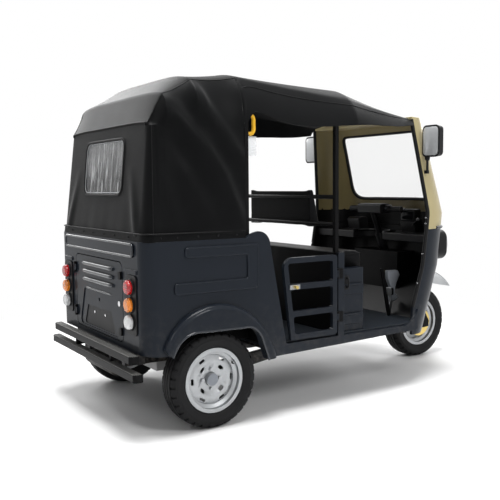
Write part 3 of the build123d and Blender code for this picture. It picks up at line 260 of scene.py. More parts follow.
BODY = (0.0100, 0.0130, 0.0185)
FINISHES = {
    finish.name: finish.material
    for finish in (
        vinyl("hood_vinyl", (0.0045, 0.0047, 0.0050), 0.42, 620.0),
        vinyl("seat_vinyl", (0.0055, 0.0056, 0.0062), 0.36, 520.0),
        clear_window_vinyl(),
        paint("body_paint", BODY, 0.30, 0.16, 0.06, 0.12),
        paint("bead_paint", BODY, 0.26, 0.85, 0.03),
        paint("cream_paint", (0.40, 0.34, 0.185), 0.32, 0.35),
        # A darker copy of the cream paint: painted shade for the windscreen frame's inward faces.
        paint("cream_in_painted_shade", (0.22, 0.18, 0.085), 0.36, 0.12),
        paint("black_metal", (0.004, 0.004, 0.0044), 0.38, 0.03, 0.2),
        paint("frame_steel", (0.010, 0.010, 0.011), 0.45, 0.1, 0.25, 0.5),
        metal("silver_paint", (0.34, 0.35, 0.36), 0.34, 0.85),
        metal("zinc_yellow", (0.62, 0.47, 0.16), 0.34, 0.9),
        metal("engine_alloy", (0.33, 0.33, 0.33), 0.55, 0.8, 180.0, 0.4),
        metal("chrome", (0.80, 0.80, 0.81), 0.10, 1.0, 90.0, 0.03),
        metal("mirror_glass", (0.42, 0.43, 0.44), 0.16, 0.25, 40.0, 0.0),
        plastic("black_plastic", (0.008, 0.008, 0.0088), 0.42),
        plastic("grey_plastic", (0.055, 0.057, 0.062), 0.42),
        plastic("gloss_black", (0.006, 0.006, 0.007), 0.08, 200.0, 0.03),
        plastic("hub_grey", (0.22, 0.235, 0.26), 0.38),
        # A lighter grey with a fine grain: painted highlight for the bumper rails' upward faces.
        plastic("bumper_painted_highlight", (0.10, 0.10, 0.095), 0.5, 500.0, 0.5),
        plastic("rubber_trim", (0.005, 0.005, 0.0053), 0.48, 600.0),
        plastic("window_edge", (0.30, 0.31, 0.32), 0.25, 300.0),
        plastic("floor_rubber", (0.020, 0.024, 0.030), 0.30, 380.0, 0.5),
        plastic("yellow_plastic", (0.72, 0.40, 0.03), 0.35),
        plastic("red_plastic", (0.45, 0.015, 0.012), 0.35),
        plastic("tyre", (0.0065, 0.0065, 0.0070), 0.58, 420.0, 0.35),
        clear("windscreen", (0.62, 0.68, 0.66), 0.07, 0.03),
        clear("pouch_vinyl", (0.80, 0.82, 0.84), 0.42, 0.10),
        clear("lamp_glass", (0.82, 0.84, 0.86), 0.22, 0.03),
        lens("lens_red", (0.50, 0.008, 0.010)),
        lens("lens_amber", (0.80, 0.22, 0.01)),
        lens("lens_clear", (0.72, 0.73, 0.74)),
    )
}


def alone(obj):
    bpy.ops.object.select_all(action="DESELECT")
    obj.select_set(True)
    bpy.context.view_layer.objects.active = obj
    return obj


def named(name):
    obj = bpy.context.object
    obj.name = name
    obj.data.name = name
    return obj


def leave():
    bpy.ops.object.mode_set(mode="OBJECT")


def take_all(obj, kind="FACE"):
    """Goes into edit mode with everything selected."""
    alone(obj)
    bpy.ops.object.mode_set(mode="EDIT")
    bpy.ops.mesh.select_mode(type=kind)
    bpy.ops.mesh.select_all(action="SELECT")


def choose(obj, test):
    """Goes into edit mode with the faces that pass the test selected."""
    take_all(obj)
    bpy.ops.mesh.select_all(action="DESELECT")
    leave()
    for face in obj.data.polygons:
        face.select = test(face.center, face.normal)
    bpy.ops.object.mode_set(mode="EDIT")


def face_out():
    """Turns the selected faces outward and leaves edit mode."""
    bpy.ops.mesh.normals_make_consistent(inside=False)
    leave()


def settle(obj):
    """Applies every modifier."""
    alone(obj)
    for modifier in list(obj.modifiers):
        bpy.ops.object.modifier_apply(modifier=modifier.name)
    return obj


def smooth(obj, angle):
    alone(obj)
    bpy.ops.object.shade_smooth_by_angle(angle=math.radians(angle))
    return obj


def soften(obj, width, segments=2, angle=30):
    """Rounds the sharp edges and shades the piece smooth."""
    bevel = obj.modifiers.new("rounding", "BEVEL")
    bevel.width = width
    bevel.segments = segments
    bevel.limit_method = "ANGLE"
    bevel.angle_limit = math.radians(angle)
    bevel.use_clamp_overlap = True
    settle(obj)
    return smooth(obj, DRESS_SHADING)


def give(obj, finish, body="body", stands_for=()):
    """Puts the finish on a piece, fixes it to its body and hides the CAD nodes it stands for."""
    obj.data.materials.clear()
    obj.data.materials.append(FINISHES[finish])
    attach(obj, body)
    if stands_for:
        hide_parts(*stands_for)
    return obj


def duplicate(obj, name, place):
    """A copy with its own mesh, free of its body."""
    alone(obj)
    bpy.ops.object.duplicate(linked=False)
    twin = named(name)
    twin.parent = None
    twin.matrix_world = place
    return twin


def moved(obj, name, shift):
    twin = duplicate(obj, name, Matrix.Translation(shift))
    bpy.ops.object.transform_apply()
    return twin


def copy_of(node, name):
    """A merged copy of a CAD node's mesh."""
    obj = duplicate(NODES[node], name, Matrix.Identity(4))
    take_all(obj)
    bpy.ops.mesh.remove_doubles(threshold=MERGE)
    bpy.ops.mesh.dissolve_limited(angle_limit=FLAT_ANGLE)
    leave()
    return obj


def dress(node, finish, rounding):
    """A rounded, smooth copy that stands for a CAD node."""
    obj = copy_of(node, node + "_shown")
    if rounding:
        soften(obj, rounding)
    else:
        smooth(obj, DRESS_SHADING)
    flat = obj.modifiers.new("flat_faces", "WEIGHTED_NORMAL")
    flat.keep_sharp = True
    flat.weight = 90
    settle(obj)
    return give(obj, finish, BODY_OF[node], [node])


def cube(name, low, high, rounding):
    low, high = Vector(low), Vector(high)
    bpy.ops.mesh.primitive_cube_add(size=1, location=(low + high) / 2)
    obj = named(name)
    obj.scale = high - low
    bpy.ops.object.transform_apply()
    return soften(obj, rounding, 3)


def bar(name, start, end, radius, sides, rounding):
    """A round bar between two points."""
    start, end = Vector(start), Vector(end)
    run = end - start
    turn = run.to_track_quat("Z", "Y").to_euler()
    bpy.ops.mesh.primitive_cylinder_add(
        vertices=sides, radius=radius, depth=run.length, location=(start + end) / 2, rotation=turn
    )
    obj = named(name)
    bpy.ops.object.transform_apply()
    return soften(obj, rounding, 3, 40)


def tube(name, points, radius, sides, steps, closed=False):
    """A round cord or bent tube through points."""
    bpy.ops.curve.primitive_bezier_curve_add()
    obj = named(name)
    spline = obj.data.splines[0]
    spline.bezier_points.add(len(points) - 2)
    for knot, point in zip(spline.bezier_points, points):
        knot.co = point
        knot.handle_left_type = "AUTO"
        knot.handle_right_type = "AUTO"
    spline.use_cyclic_u = closed
    obj.location = (0, 0, 0)
    obj.data.resolution_u = steps
    obj.data.bevel_depth = radius
    obj.data.bevel_resolution = sides
    obj.data.use_fill_caps = True
    alone(obj)
    bpy.ops.object.convert(target="MESH")
    obj = named(name)
    return smooth(obj, SHEET_SHADING)


def plate(name, outline, place, depth, rounding, segments=2):
    """A flat outline, put in place and drawn out into a plate."""
    bpy.ops.mesh.primitive_circle_add(vertices=len(outline), fill_type="NGON")
    obj = named(name)
    for point, corner in zip(obj.data.vertices, outline):
        point.co = place(*corner)
    take_all(obj)
    bpy.ops.mesh.extrude_region_move(TRANSFORM_OT_translate={"value": depth})
    bpy.ops.mesh.select_all(action="SELECT")
    face_out()
    return soften(obj, rounding, segments)


def turned(name, profile, centre, axis, steps, shading=35):
    """A closed profile of (along, radius) pairs, spun about an axis."""
    bpy.ops.mesh.primitive_circle_add(vertices=len(profile), fill_type="NOTHING")
    obj = named(name)
    centre, axis = Vector(centre), Vector(axis).normalized()
    out = axis.orthogonal().normalized()
    for point, (along, radius) in zip(obj.data.vertices, profile):
        point.co = centre + along * axis + radius * out
    take_all(obj, "EDGE")
    bpy.ops.mesh.spin(steps=steps, angle=2 * math.pi, center=centre, axis=axis)
    bpy.ops.mesh.select_all(action="SELECT")
    bpy.ops.mesh.remove_doubles(threshold=MERGE)
    bpy.ops.mesh.dissolve_degenerate(threshold=MERGE)
    bpy.ops.mesh.select_all(action="SELECT")
    face_out()
    return smooth(obj, shading)


def shaped(name, across, along, place):
    """A grid whose points are moved to place(u, v), u and v from 0 to 1."""
    bpy.ops.mesh.primitive_grid_add(x_subdivisions=across, y_subdivisions=along, size=2)
    obj = named(name)
    for point in obj.data.vertices:
        point.co = place((point.co.x + 1) / 2, (point.co.y + 1) / 2)
    return obj


def joined(name, *pieces):
    alone(pieces[0])
    for piece in pieces[1:]:
        piece.select_set(True)
    bpy.ops.object.join()
    return named(name)


def turned_row(name, profile, centres, axis, steps):
    """Turned pieces of one profile, joined into one piece."""
    row = [turned("%s_%d" % (name, n), profile, centre, axis, steps) for n, centre in enumerate(centres)]
    return joined(name, *row)


def shares(count):
    """Even steps from 0 to 1."""
    return [n / count for n in range(count + 1)]


def curve(first, control, last, t):
    """A point on the curve that leaves first toward the control point and comes to last."""
    return tuple(
        p * (1 - t) ** 2 + 2 * q * t * (1 - t) + r * t * t for p, q, r in zip(first, control, last)
    )


def through(first, middle, last, t):
    """A point on the curve that passes through three points."""
    control = [2 * q - (p + r) / 2 for p, q, r in zip(first, middle, last)]
    return curve(first, control, last, t)


def rounded(half_y, half_z, radius):
    """A rounded rectangle as (y, z) points about its middle."""
    points = []
    for sign_y, sign_z, begin in ((1, 1, 0), (-1, 1, 90), (-1, -1, 180), (1, -1, 270)):
        for step in range(7):
            angle = math.radians(begin + 15 * step)
            y = sign_y * (half_y - radius) + radius * math.cos(angle)
            z = sign_z * (half_z - radius) + radius * math.sin(angle)
            points.append((y, z))
    return points


# Rigid nodes shown as rounded copies.
DRESSED = {
    "frame_steel": {"chassis_frame": 0.003, "rear_suspension": 0.004, "silencer": 0.002},
    "floor_rubber": {"floor_pan": 0.002},
    "body_paint": {
        "body_side_right": 0.003, "body_side_left": 0.003, "rear_panel": 0.003, "driver_seat_base": 0.004,
        "front_apron": 0.003, "door_right": 0.004, "door_left": 0.004, "rear_door": 0.002,
    },
    "black_metal": {
        "rear_tub": 0.003, "partition": 0.003, "toe_board": 0.003, "hood_frame": 0.005, "bumper": 0.002,
        "door_hinges": 0.001, "steering_stem": 0.004, "driver_controls": 0.002,
    },
    "black_plastic": {
        "dashboard": 0.006, "headlamp_housings": 0.008, "tail_lamp_plates": 0.002, "mirrors": 0.006,
        "handlebar": 0.003, "handlebar_cover": 0.004,
    },
    "silver_paint": {
        "front_mudguard": 0.002, "front_rim": 0.001, "rear_right_rim": 0.001, "rear_left_rim": 0.001,
    },
    "cream_paint": {"windscreen_frame": 0.004},
    "engine_alloy": {"engine": 0.01},
    "zinc_yellow": {"front_brake": 0.003},
    "windscreen": {"windscreen_glass": 0.0},
    "lamp_glass": {"headlamp_lenses": 0.0},
    "lens_red": {"tail_lamps_red": 0.0},
    "lens_amber": {"tail_lamps_amber": 0.0},
    "lens_clear": {"tail_lamps_clear": 0.0},
}
SHOWN = {}
for finish, roundings in DRESSED.items():
    for node, rounding in roundings.items():
        SHOWN[node] = dress(node, finish, rounding)


# The hood is one sheet: a roof over the bows, running down without a break into the curtains.
Bow = namedtuple("Bow", "a eave_y eave_z corner_y corner_z crown_z bulge flatness")
BOWS = [
    Bow(-0.305, 0.524, 1.521, 0.510, 1.532, 1.539, 0.002, 6.0),
    Bow(-0.232, 0.550, 1.521, 0.524, 1.674, 1.692, 0.030, 6.0),
    Bow(-0.075, 0.572, 1.521, 0.518, 1.754, 1.790, 0.040, 5.0),
    Bow(0.190, 0.587, 1.521, 0.513, 1.782, 1.818, 0.028, 4.0),
    Bow(0.206, 0.588, 1.521, 0.513, 1.781, 1.818, 0.026, 4.6),
    Bow(0.950, 0.596, 1.545, 0.525, 1.706, 1.790, 0.014, 5.0),
    Bow(1.477, 0.520, 1.575, 0.455, 1.632, 1.653, 0.008, 3.0),
]
DOOR_BOW_A = BOWS[4].a
HOOD_FRONT = 0.195
BELT_Z = 0.962
SEAM_Z = 1.521
HEM_Z = 1.000
ROOF_SHARE = 0.55
Plan = namedtuple("Plan", "rear_a rear_half front_half corner")
LOW_PLAN = Plan(-0.361, 0.590, 0.590, 0.075)
HIGH_PLAN = Plan(-0.305, 0.526, 0.582, 0.028)
WINDOW_HALF, WINDOW_LOW, WINDOW_HIGH, WINDOW_ROUND = 0.262, 1.190, 1.468, 0.045
WINDOW_SNAP = 0.009
WINDOW_MIDDLE = (WINDOW_LOW + WINDOW_HIGH) / 2
WINDOW_HALF_HEIGHT = (WINDOW_HIGH - WINDOW_LOW) / 2
HOOD_MIDDLE = Vector((REAR_X + 0.1, 0, 1.2))
CLOTH, HEM_CLOTH = 0.0025, 0.003
SHEET_MERGE = 0.0006
EAVE_ROUNDS = 40
EAVE_REAR_A, EAVE_FRONT_A, EAVE_MIDDLE_Z = -0.29, 0.185, 1.535
CLEAR_SHEET = 0.0008

# The free edge of the roof ahead of the door post, as distance from the rear axle and height.
FREE_EDGE = [
    (0.206, 1.521), (0.240, 1.575), (0.272, 1.600), (0.330, 1.588), (0.400, 1.565), (0.519, 1.545),
    (0.687, 1.541), (0.893, 1.556), (1.080, 1.568), (1.325, 1.572), (1.477, 1.585),
]

# Folds on the side run from the bows' corners down and forward. Each falls away sharply ahead
# of its crest and slowly behind it.
Fold = namedtuple("Fold", "line ahead behind height")
SIDE_FOLDS = [
    Fold(
        [(-0.232, 1.690), (-0.150, 1.545), (-0.040, 1.430), (0.065, 1.270), (0.185, 0.985)],
        0.046, 0.115, 0.030,
    ),
    Fold([(-0.075, 1.770), (-0.010, 1.610), (0.095, 1.470), (0.200, 1.320)], 0.038, 0.085, 0.022),
    Fold([(-0.215, 1.400), (-0.110, 1.220), (0.020, 0.985)], 0.055, 0.090, 0.013),
    Fold([(-0.270, 1.330), (-0.235, 1.180), (-0.190, 0.985)], 0.040, 0.060, 0.008),
]


def between(rows, place):
    """The row at a place, among rows in order of their first value, and the share of the bay it is in."""
    for low, high in zip(rows, rows[1:]):
        if place <= high[0]:
            share = max(0.0, (place - low[0]) / (high[0] - low[0]))
            return [p + (q - p) * share for p, q in zip(low, high)], share
    return rows[-1], 1.0


def ramp(value, low, high):
    share = max(0.0, min(1.0, (value - low) / (high - low)))
    return share * share * (3 - 2 * share)


def plan_half(plan, a):
    share = (a - plan.rear_a) / (HOOD_FRONT - plan.rear_a)
    return plan.rear_half + (plan.front_half - plan.rear_half) * share


def plan_point(plan, kind, t):
    """A point of the hood's plan, right side: along the side, round the corner or across the rear."""
    start_a = plan.rear_a + plan.corner
    start = (start_a, plan_half(plan, start_a))
    end = (plan.rear_a, plan.rear_half - plan.corner)
    if kind == "side":
        a = HOOD_FRONT + (start_a - HOOD_FRONT) * t
        return a, plan_half(plan, a)
    if kind == "corner":
        return curve(start, (plan.rear_a, plan.rear_half), end, t)
    return plan.rear_a, end[1] * (1 - 2 * t)


def crest(a, z, fold):
    """How far a fold stands out at a point of the side."""
    total = sum((Vector(q) - Vector(p)).length for p, q in zip(fold.line, fold.line[1:]))
    best = None
    gone = 0.0
    for start, end in zip(fold.line, fold.line[1:]):
        run = Vector(end) - Vector(start)
        off = Vector((a, z)) - Vector(start)
        share = max(0.0, min(1.0, off.dot(run) / run.length_squared))
        away = off - share * run
        if best is None or away.length < best[0]:
            ahead = run.x * away.y - run.y * away.x > 0
            best = (away.length, ahead, (gone + share * run.length) / total)
        gone += run.length
    away, ahead, place = best
    width = (fold.ahead if ahead else fold.behind) * (0.55 + 0.6 * place)
    ends = min(1.0, 0.3 + 2.5 * place) * min(1.0, 0.35 + 4.0 * (1 - place))
    return fold.height * math.exp(-((away / width) ** 2)) * ends


def side_fold(a, z):
    return sum(crest(a, z, fold) for fold in SIDE_FOLDS) * ramp(a, -0.300, -0.120)


def rear_fold(y, z):
    """Slack in the rear curtain: a soft fold toward each lower corner and slow waves under the window."""
    low = max(0.0, min(1.0, (1.20 - z) / 0.2))
    wave = 0.0010 * math.sin(y * 21.0 + 0.6) + 0.0004 * math.sin(y * 47.0 + z * 9.0)
    line = 0.395 + 0.36 * (1.22 - z)
    fold = 0.012 * math.exp(-(((abs(y) - line) / 0.040) ** 2))
    fold *= max(0.0, min(1.0, (1.34 - z) / 0.25))
    return wave * low + fold


def folded(point, sign, share):
    """A point of the side, moved out by the folds there."""
    out = share * side_fold(point.x - REAR_X, point.z)
    return point + Vector((0, 0.95 * sign * out, 0.25 * out))


def roof_point(a, t, slack_cloth=True):
    """A point of the roof at station a, t from -1 at the right eave to 1 at the left."""
    row, share = between(BOWS, a)
    bow = Bow(*row)
    slack = 4 * share * (1 - share) * (1.0 if a < HOOD_FRONT else 0.45)
    eave_y = bow.eave_y
    if a < HIGH_PLAN.rear_a + HIGH_PLAN.corner:
        round_share = 1 - math.sqrt(max(0.0, (a - HIGH_PLAN.rear_a) / HIGH_PLAN.corner))
        eave_y = plan_point(HIGH_PLAN, "corner", round_share)[1]
    eave = (eave_y, bow.eave_z)
    top = (min(bow.corner_y - 0.008 * slack, eave_y - 0.001), bow.corner_z - 0.007 * slack)
    bulge = bow.bulge - 0.020 * slack
    middle = ((eave[0] + top[0]) / 2 + bulge, (eave[1] + top[1]) / 2 + 0.4 * bulge)
    side = abs(t)
    if side > ROOF_SHARE:
        low = 0.0
        if a > DOOR_BOW_A:
            (_, edge_z), _ = between(FREE_EDGE, a)
            low = (edge_z - bow.eave_z) / (bow.corner_z - bow.eave_z)
        y, z = through(eave, middle, top, low + (1 - low) * (1 - side) / (1 - ROOF_SHARE))
    else:
        y = top[0] * side / ROOF_SHARE
        crown = bow.crown_z - 0.002 * slack
        z = crown + (top[1] - crown) * (side / ROOF_SHARE) ** bow.flatness
    sign = math.copysign(1, t)
    point = Vector((REAR_X + a, sign * y, z))
    if slack_cloth and a < DOOR_BOW_A:
        point = folded(point, sign, ramp(side, 0.5, 0.72))
    return point


SIDE_STEPS = 72
CORNER_STEPS = 8
ACROSS = 104
HEIGHTS = 84
FRONT_STEPS = 84
AROUND = [("side", RIGHT, t) for t in shares(SIDE_STEPS)[:-1]]
AROUND += [("corner", RIGHT, t) for t in shares(CORNER_STEPS)[:-1]]
AROUND += [("rear", RIGHT, t) for t in shares(ACROSS)[:-1]]
AROUND += [("corner", LEFT, 1 - t) for t in shares(CORNER_STEPS)[:-1]]
AROUND += [("side", LEFT, 1 - t) for t in shares(SIDE_STEPS)]
LAST = len(AROUND) - 1


def belt_point(u, out=0.0):
    """A point of the hood's lower edge, moved outward: u runs round from the right side to the left."""
    kind, sign, t = AROUND[round(u * LAST)]
    plan = LOW_PLAN._replace(
        rear_a=LOW_PLAN.rear_a - out, rear_half=LOW_PLAN.rear_half + out, front_half=LOW_PLAN.front_half + out
    )
    a, y = plan_point(plan, kind, t)
    return Vector((REAR_X + a, sign * y, BELT_Z))


def curtain_point(u, v):
    """A point of the curtains: u as above, v up from the belt to the roof's edge."""
    kind, sign, t = AROUND[round(u * LAST)]
    high_a, high_y = plan_point(HIGH_PLAN, kind, t)
    top = Vector((REAR_X + high_a, sign * high_y, SEAM_Z))
    if kind == "side":
        top = roof_point(high_a, sign, False)
    elif kind == "rear":
        top = roof_point(HIGH_PLAN.rear_a, 2 * t - 1)
    point = belt_point(u).lerp(top, v)
    if kind == "side":
        point = folded(point, sign, ramp(v, 0.0, 0.09))
    elif kind == "rear":
        point.x -= rear_fold(point.y, point.z) * ramp(v, 0.0, 0.07) * ramp(1 - v, 0.0, 0.05)
    return point


def relax(obj, rounds, weight):
    """Smooths the points of a sheet, each by its weight."""
    group = obj.vertex_groups.new(name="relaxed")
    for point in obj.data.vertices:
        share = weight(point.co)
        if share > 0:
            group.add([point.index], share, "REPLACE")
    ease = obj.modifiers.new("ease", "SMOOTH")
    ease.iterations = rounds
    ease.factor = 0.5
    ease.vertex_group = group.name
    settle(obj)
    obj.vertex_groups.clear()


def eave_weight(point):
    """One along the side where the roof runs into the curtain, none at the rear corner and edges."""
    a = point.x - REAR_X
    if not EAVE_REAR_A < a < EAVE_FRONT_A or abs(point.y) < 0.45:
        return 0.0
    along = ramp(a, -0.250, -0.12) * ramp(EAVE_FRONT_A - a, 0.0, 0.02)
    return along * ramp(0.13 - abs(point.z - EAVE_MIDDLE_Z), 0.0, 0.06)


def window_distance(y, z):
    """How far a point of the rear curtain is outside the window's rounded outline."""
    dy = abs(y) - WINDOW_HALF + WINDOW_ROUND
    dz = abs(z - WINDOW_MIDDLE) - WINDOW_HALF_HEIGHT + WINDOW_ROUND
    outside = Vector((max(dy, 0.0), max(dz, 0.0)))
    return outside.length + min(max(dy, dz), 0.0) - WINDOW_ROUND


def cut_window(curtain):
    """Draws the points near the window's outline onto it and deletes the faces inside."""
    step = 0.0005

    def in_reach(place):
        return place.x <= REAR_X - 0.29 and abs(place.y) <= 0.4

    for point in curtain.data.vertices:
        _, y, z = point.co
        away = window_distance(y, z)
        if in_reach(point.co) and abs(away) < WINDOW_SNAP:
            point.co.y -= away * (window_distance(y + step, z) - away) / step
            point.co.z -= away * (window_distance(y, z + step) - away) / step
    choose(curtain, lambda c, n: in_reach(c) and window_distance(c.y, c.z) < -0.001)
    bpy.ops.mesh.delete(type="FACE")
    leave()


def thicken(obj, depth):
    wall = obj.modifiers.new("thickness", "SOLIDIFY")
    wall.thickness = depth
    wall.offset = -1.0
    return settle(obj)


def make_hood():
    """The roof and the curtains, joined along the eaves into one cloth."""
    first = HIGH_PLAN.rear_a + HIGH_PLAN.corner
    sides = [HOOD_FRONT + (first - HOOD_FRONT) * t for t in shares(SIDE_STEPS)[:-1]]
    bend = [plan_point(HIGH_PLAN, "corner", t)[0] for t in shares(CORNER_STEPS)]
    ahead = [DOOR_BOW_A + (BOWS[-1].a - DOOR_BOW_A) * t for t in shares(FRONT_STEPS)]
    stations = sorted(sides + bend + ahead)

    def roof_place(u, v):
        return roof_point(stations[round(v * (len(stations) - 1))], 2 * u - 1)

    roof = shaped("hood_roof_sheet", ACROSS, len(stations) - 1, roof_place)
    curtain = shaped("hood_curtain_sheet", LAST, HEIGHTS, curtain_point)
    cut_window(curtain)
    sheet = joined("hood", roof, curtain)
    take_all(sheet)
    bpy.ops.mesh.remove_doubles(threshold=SHEET_MERGE)
    face_out()
    relax(sheet, EAVE_ROUNDS, eave_weight)
    thicken(sheet, CLOTH)
    smooth(sheet, SHEET_SHADING)
    return give(sheet, "hood_vinyl", stands_for=["hood_roof", "hood_rear", "hood_sides"])


hood = make_hood()


def on_hood(points, lift):
    """Points dropped onto the hood, and lifted off it a little where that is its outer face."""
    found = []
    for point in points:
        _, place, normal, _ = hood.closest_point_on_mesh(point)
        if normal.dot(point - HOOD_MIDDLE) > 0:
            place = place + lift * normal
        found.append(place)
    return found


def seam(name, points, radius=0.0022, lift=0.0004, finish="rubber_trim"):
    """A sewn welt that follows the hood."""
    give(tube(name, on_hood(points, lift), radius, 2, 3), finish)


def roof_line(start, end, side, steps):
    """Points along the roof between two stations, at a share of its width."""
    return [roof_point(start + (end - start) * t, side) for t in shares(steps)]


def across_roof(a, low, high, steps):
    return [roof_point(a, low + (high - low) * t) for t in shares(steps)]


SEAM_SHARE = 0.56
BOW_SEAM_A = 0.198
corner_low = plan_point(LOW_PLAN, "corner", 0.25)
corner_high = plan_point(HIGH_PLAN, "corner", 0.25)
for name, sign in SIDES:
    seam("hood_seam_top_" + name, roof_line(-0.300, 0.196, sign * SEAM_SHARE, 40))
    seam("hood_seam_side_" + name, roof_line(0.205, 1.470, sign * 0.66, 70))
    seam("hood_seam_bow_" + name, across_roof(BOW_SEAM_A, sign * SEAM_SHARE, sign * 0.97, 24))
    corner = []
    for t in shares(30):
        v = 0.06 + 0.94 * t
        a, y = (p + (q - p) * v for p, q in zip(corner_low, corner_high))
        corner.append(Vector((REAR_X + a, sign * y, BELT_Z + (SEAM_Z - BELT_Z) * v)))
    seam("hood_seam_corner_" + name, corner, 0.0018)
    edge = [Vector((REAR_X + a, sign * roof_point(a, sign).y, z)) for a, z in FREE_EDGE[1:]]
    seam("hood_edge_welt_" + name, edge, 0.0042, 0.0)
seam("hood_seam_bow_top", across_roof(BOW_SEAM_A, -SEAM_SHARE, SEAM_SHARE, 60))
rear_edge = across_roof(HIGH_PLAN.rear_a, -1, 1, 60)
seam("hood_rear_welt", rear_edge, 0.0055, 0.001, "hood_vinyl")
seam("hood_rear_stitch", [point + Vector((0.012, 0, 0.010)) for point in rear_edge], 0.0016, 0.0002)


def hem_point(u, v):
    """The hem lies over the curtain's foot and flares out a little."""
    point = belt_point(u, 0.004 + 0.004 * (1 - v) ** 2)
    point.z = BELT_Z - 0.002 + (HEM_Z - BELT_Z) * v
    return point


hem = shaped("hood_hem", LAST, 5, hem_point)
take_all(hem)
face_out()
thicken(hem, HEM_CLOTH)
give(smooth(hem, 50), "hood_vinyl")
piping = [belt_point(i / LAST, 0.006) + Vector((0, 0, HEM_Z - BELT_Z)) for i in range(0, LAST + 1, 2)]
hood_piping = give(tube("hood_piping", piping, 0.0036, 2, 2), "rubber_trim")
STUD = [(0.0, 0.0), (0.0, 0.0048), (0.0016, 0.0044), (0.0028, 0.0026), (0.0032, 0.0)]
STUD_SHARES = [0.03, 0.09, 0.155, 0.22, 0.268, 0.35, 0.415, 0.47]
STUD_SHARES += [1 - share for share in STUD_SHARES]
studs = []
for number, share in enumerate(STUD_SHARES):
    way = belt_point(share, 0.02) - belt_point(share)
    centre = belt_point(share, 0.006) + Vector((0, 0, 0.018))
    studs.append(turned("hood_stud_%d" % number, STUD, centre, way, 16))
hood_studs = give(joined("hood_studs", *studs), "black_plastic")


def rear_curtain_x(z):
    share = (z - BELT_Z) / (SEAM_Z - BELT_Z)
    return REAR_X + LOW_PLAN.rear_a + (HIGH_PLAN.rear_a - LOW_PLAN.rear_a) * share


def window_ring(name, reach, depth, radius, finish):
    """A welt round the rear window, a set distance outside its edge."""
    placed = []
    for y, rise in rounded(WINDOW_HALF + reach, WINDOW_HALF_HEIGHT + reach, WINDOW_ROUND + reach):
        z = WINDOW_MIDDLE + rise
        placed.append(Vector((rear_curtain_x(z) - depth, y, z)))
    give(tube(name, placed, radius, 3, 4, True), finish)


window_ring("window_welt", 0.004, 0.002, 0.0065, "rubber_trim")
window_ring("window_rim", -0.007, 0.001, 0.0026, "window_edge")


def window_point(u, v):
    """The window's clear sheet, creased up and down where it is slack."""
    y = (2 * u - 1) * (WINDOW_HALF + 0.002)
    z = WINDOW_LOW - 0.002 + v * (WINDOW_HIGH - WINDOW_LOW + 0.004)
    crease = math.sin(62 * y + 3 * math.sin(9 * z))
    crease += 0.6 * math.sin(117 * y + 14 * z)
    crease += 0.4 * math.sin(203 * y - 21 * z)
    held = ramp(-window_distance(y, z), 0.0, 0.05)
    return Vector((rear_curtain_x(z) + 0.0035 + 0.0009 * crease * held, y, z))


pane = shaped("window_sheet", 110, 40, window_point)
choose(pane, lambda c, n: window_distance(c.y, c.z) > 0.004)
bpy.ops.mesh.delete(type="FACE")
leave()
thicken(pane, CLEAR_SHEET)
give(smooth(pane, SHEET_SHADING), "clear_vinyl", stands_for=["hood_window"])


def also(node, finish, test):
    """A second finish on the faces of a shown node that pass the test."""
    obj = SHOWN[node]
    obj.data.materials.append(FINISHES[finish])
    choose(obj, test)
    obj.active_material_index = len(obj.data.materials) - 1
    bpy.ops.object.material_slot_assign()
    leave()


NOSE_MIDDLE = Vector((FRONT_X - 0.48, 0.0, 0.9))
REAR_WALL_X = REAR_X - 0.375
DOOR_FACE = 0.6125
PLATE_X = REAR_WALL_X + 0.009
CATCH_Y, LOCK_Y, LOCK_Z = -0.312, -0.306, 0.637
LATCH_X = REAR_X + 0.6
BAR_X = 0.7025


def faces_inward(centre, normal):
    flat = centre - NOSE_MIDDLE
    flat.z = 0
    return normal.dot(flat) < 0


def near(value, middle, reach):
    return abs(value - middle) < reach


def stands_off(centre, y, reach):
    """Whether a face of the rear door stands off it, near a place across."""
    return centre.x < REAR_WALL_X - 0.001 and near(centre.y, y, reach)


also("front_apron", "black_metal", faces_inward)
# Painted shade: the windscreen frame's inward faces get a darker cream, standing in for the shade inside the
# cab.
also("windscreen_frame", "cream_in_painted_shade", faces_inward)
also("windscreen_frame", "black_metal", lambda c, n: c.z < 1.05 and faces_inward(c, n))
# Painted highlight: the bumper rails' upward faces get a lighter grey where light falls on their tops.
also("bumper", "bumper_painted_highlight", lambda c, n: n.z > 0.6)
# Painted shade: the floor of the plate recess gets black plastic, darker than the door's paint.
also("rear_door", "black_plastic", lambda c, n: near(c.x, PLATE_X, 0.001) and n.x < -0.9)
also("rear_door", "black_metal", lambda c, n: stands_off(c, CATCH_Y, 0.018) and not near(c.z, LOCK_Z, 0.1))
also("rear_door", "chrome", lambda c, n: stands_off(c, LOCK_Y, 0.017) and near(c.z, LOCK_Z, 0.017))
for door in ("door_right", "door_left"):
    also(door, "silver_paint", lambda c, n: abs(c.y) > DOOR_FACE and c.x < LATCH_X)
    also(door, "zinc_yellow", lambda c, n: abs(c.y) > DOOR_FACE + 0.0065 and c.x < LATCH_X)
also("driver_controls", "silver_paint", lambda c, n: c.y > -0.312)
also("handlebar", "silver_paint", lambda c, n: c.x > BAR_X + 0.022)


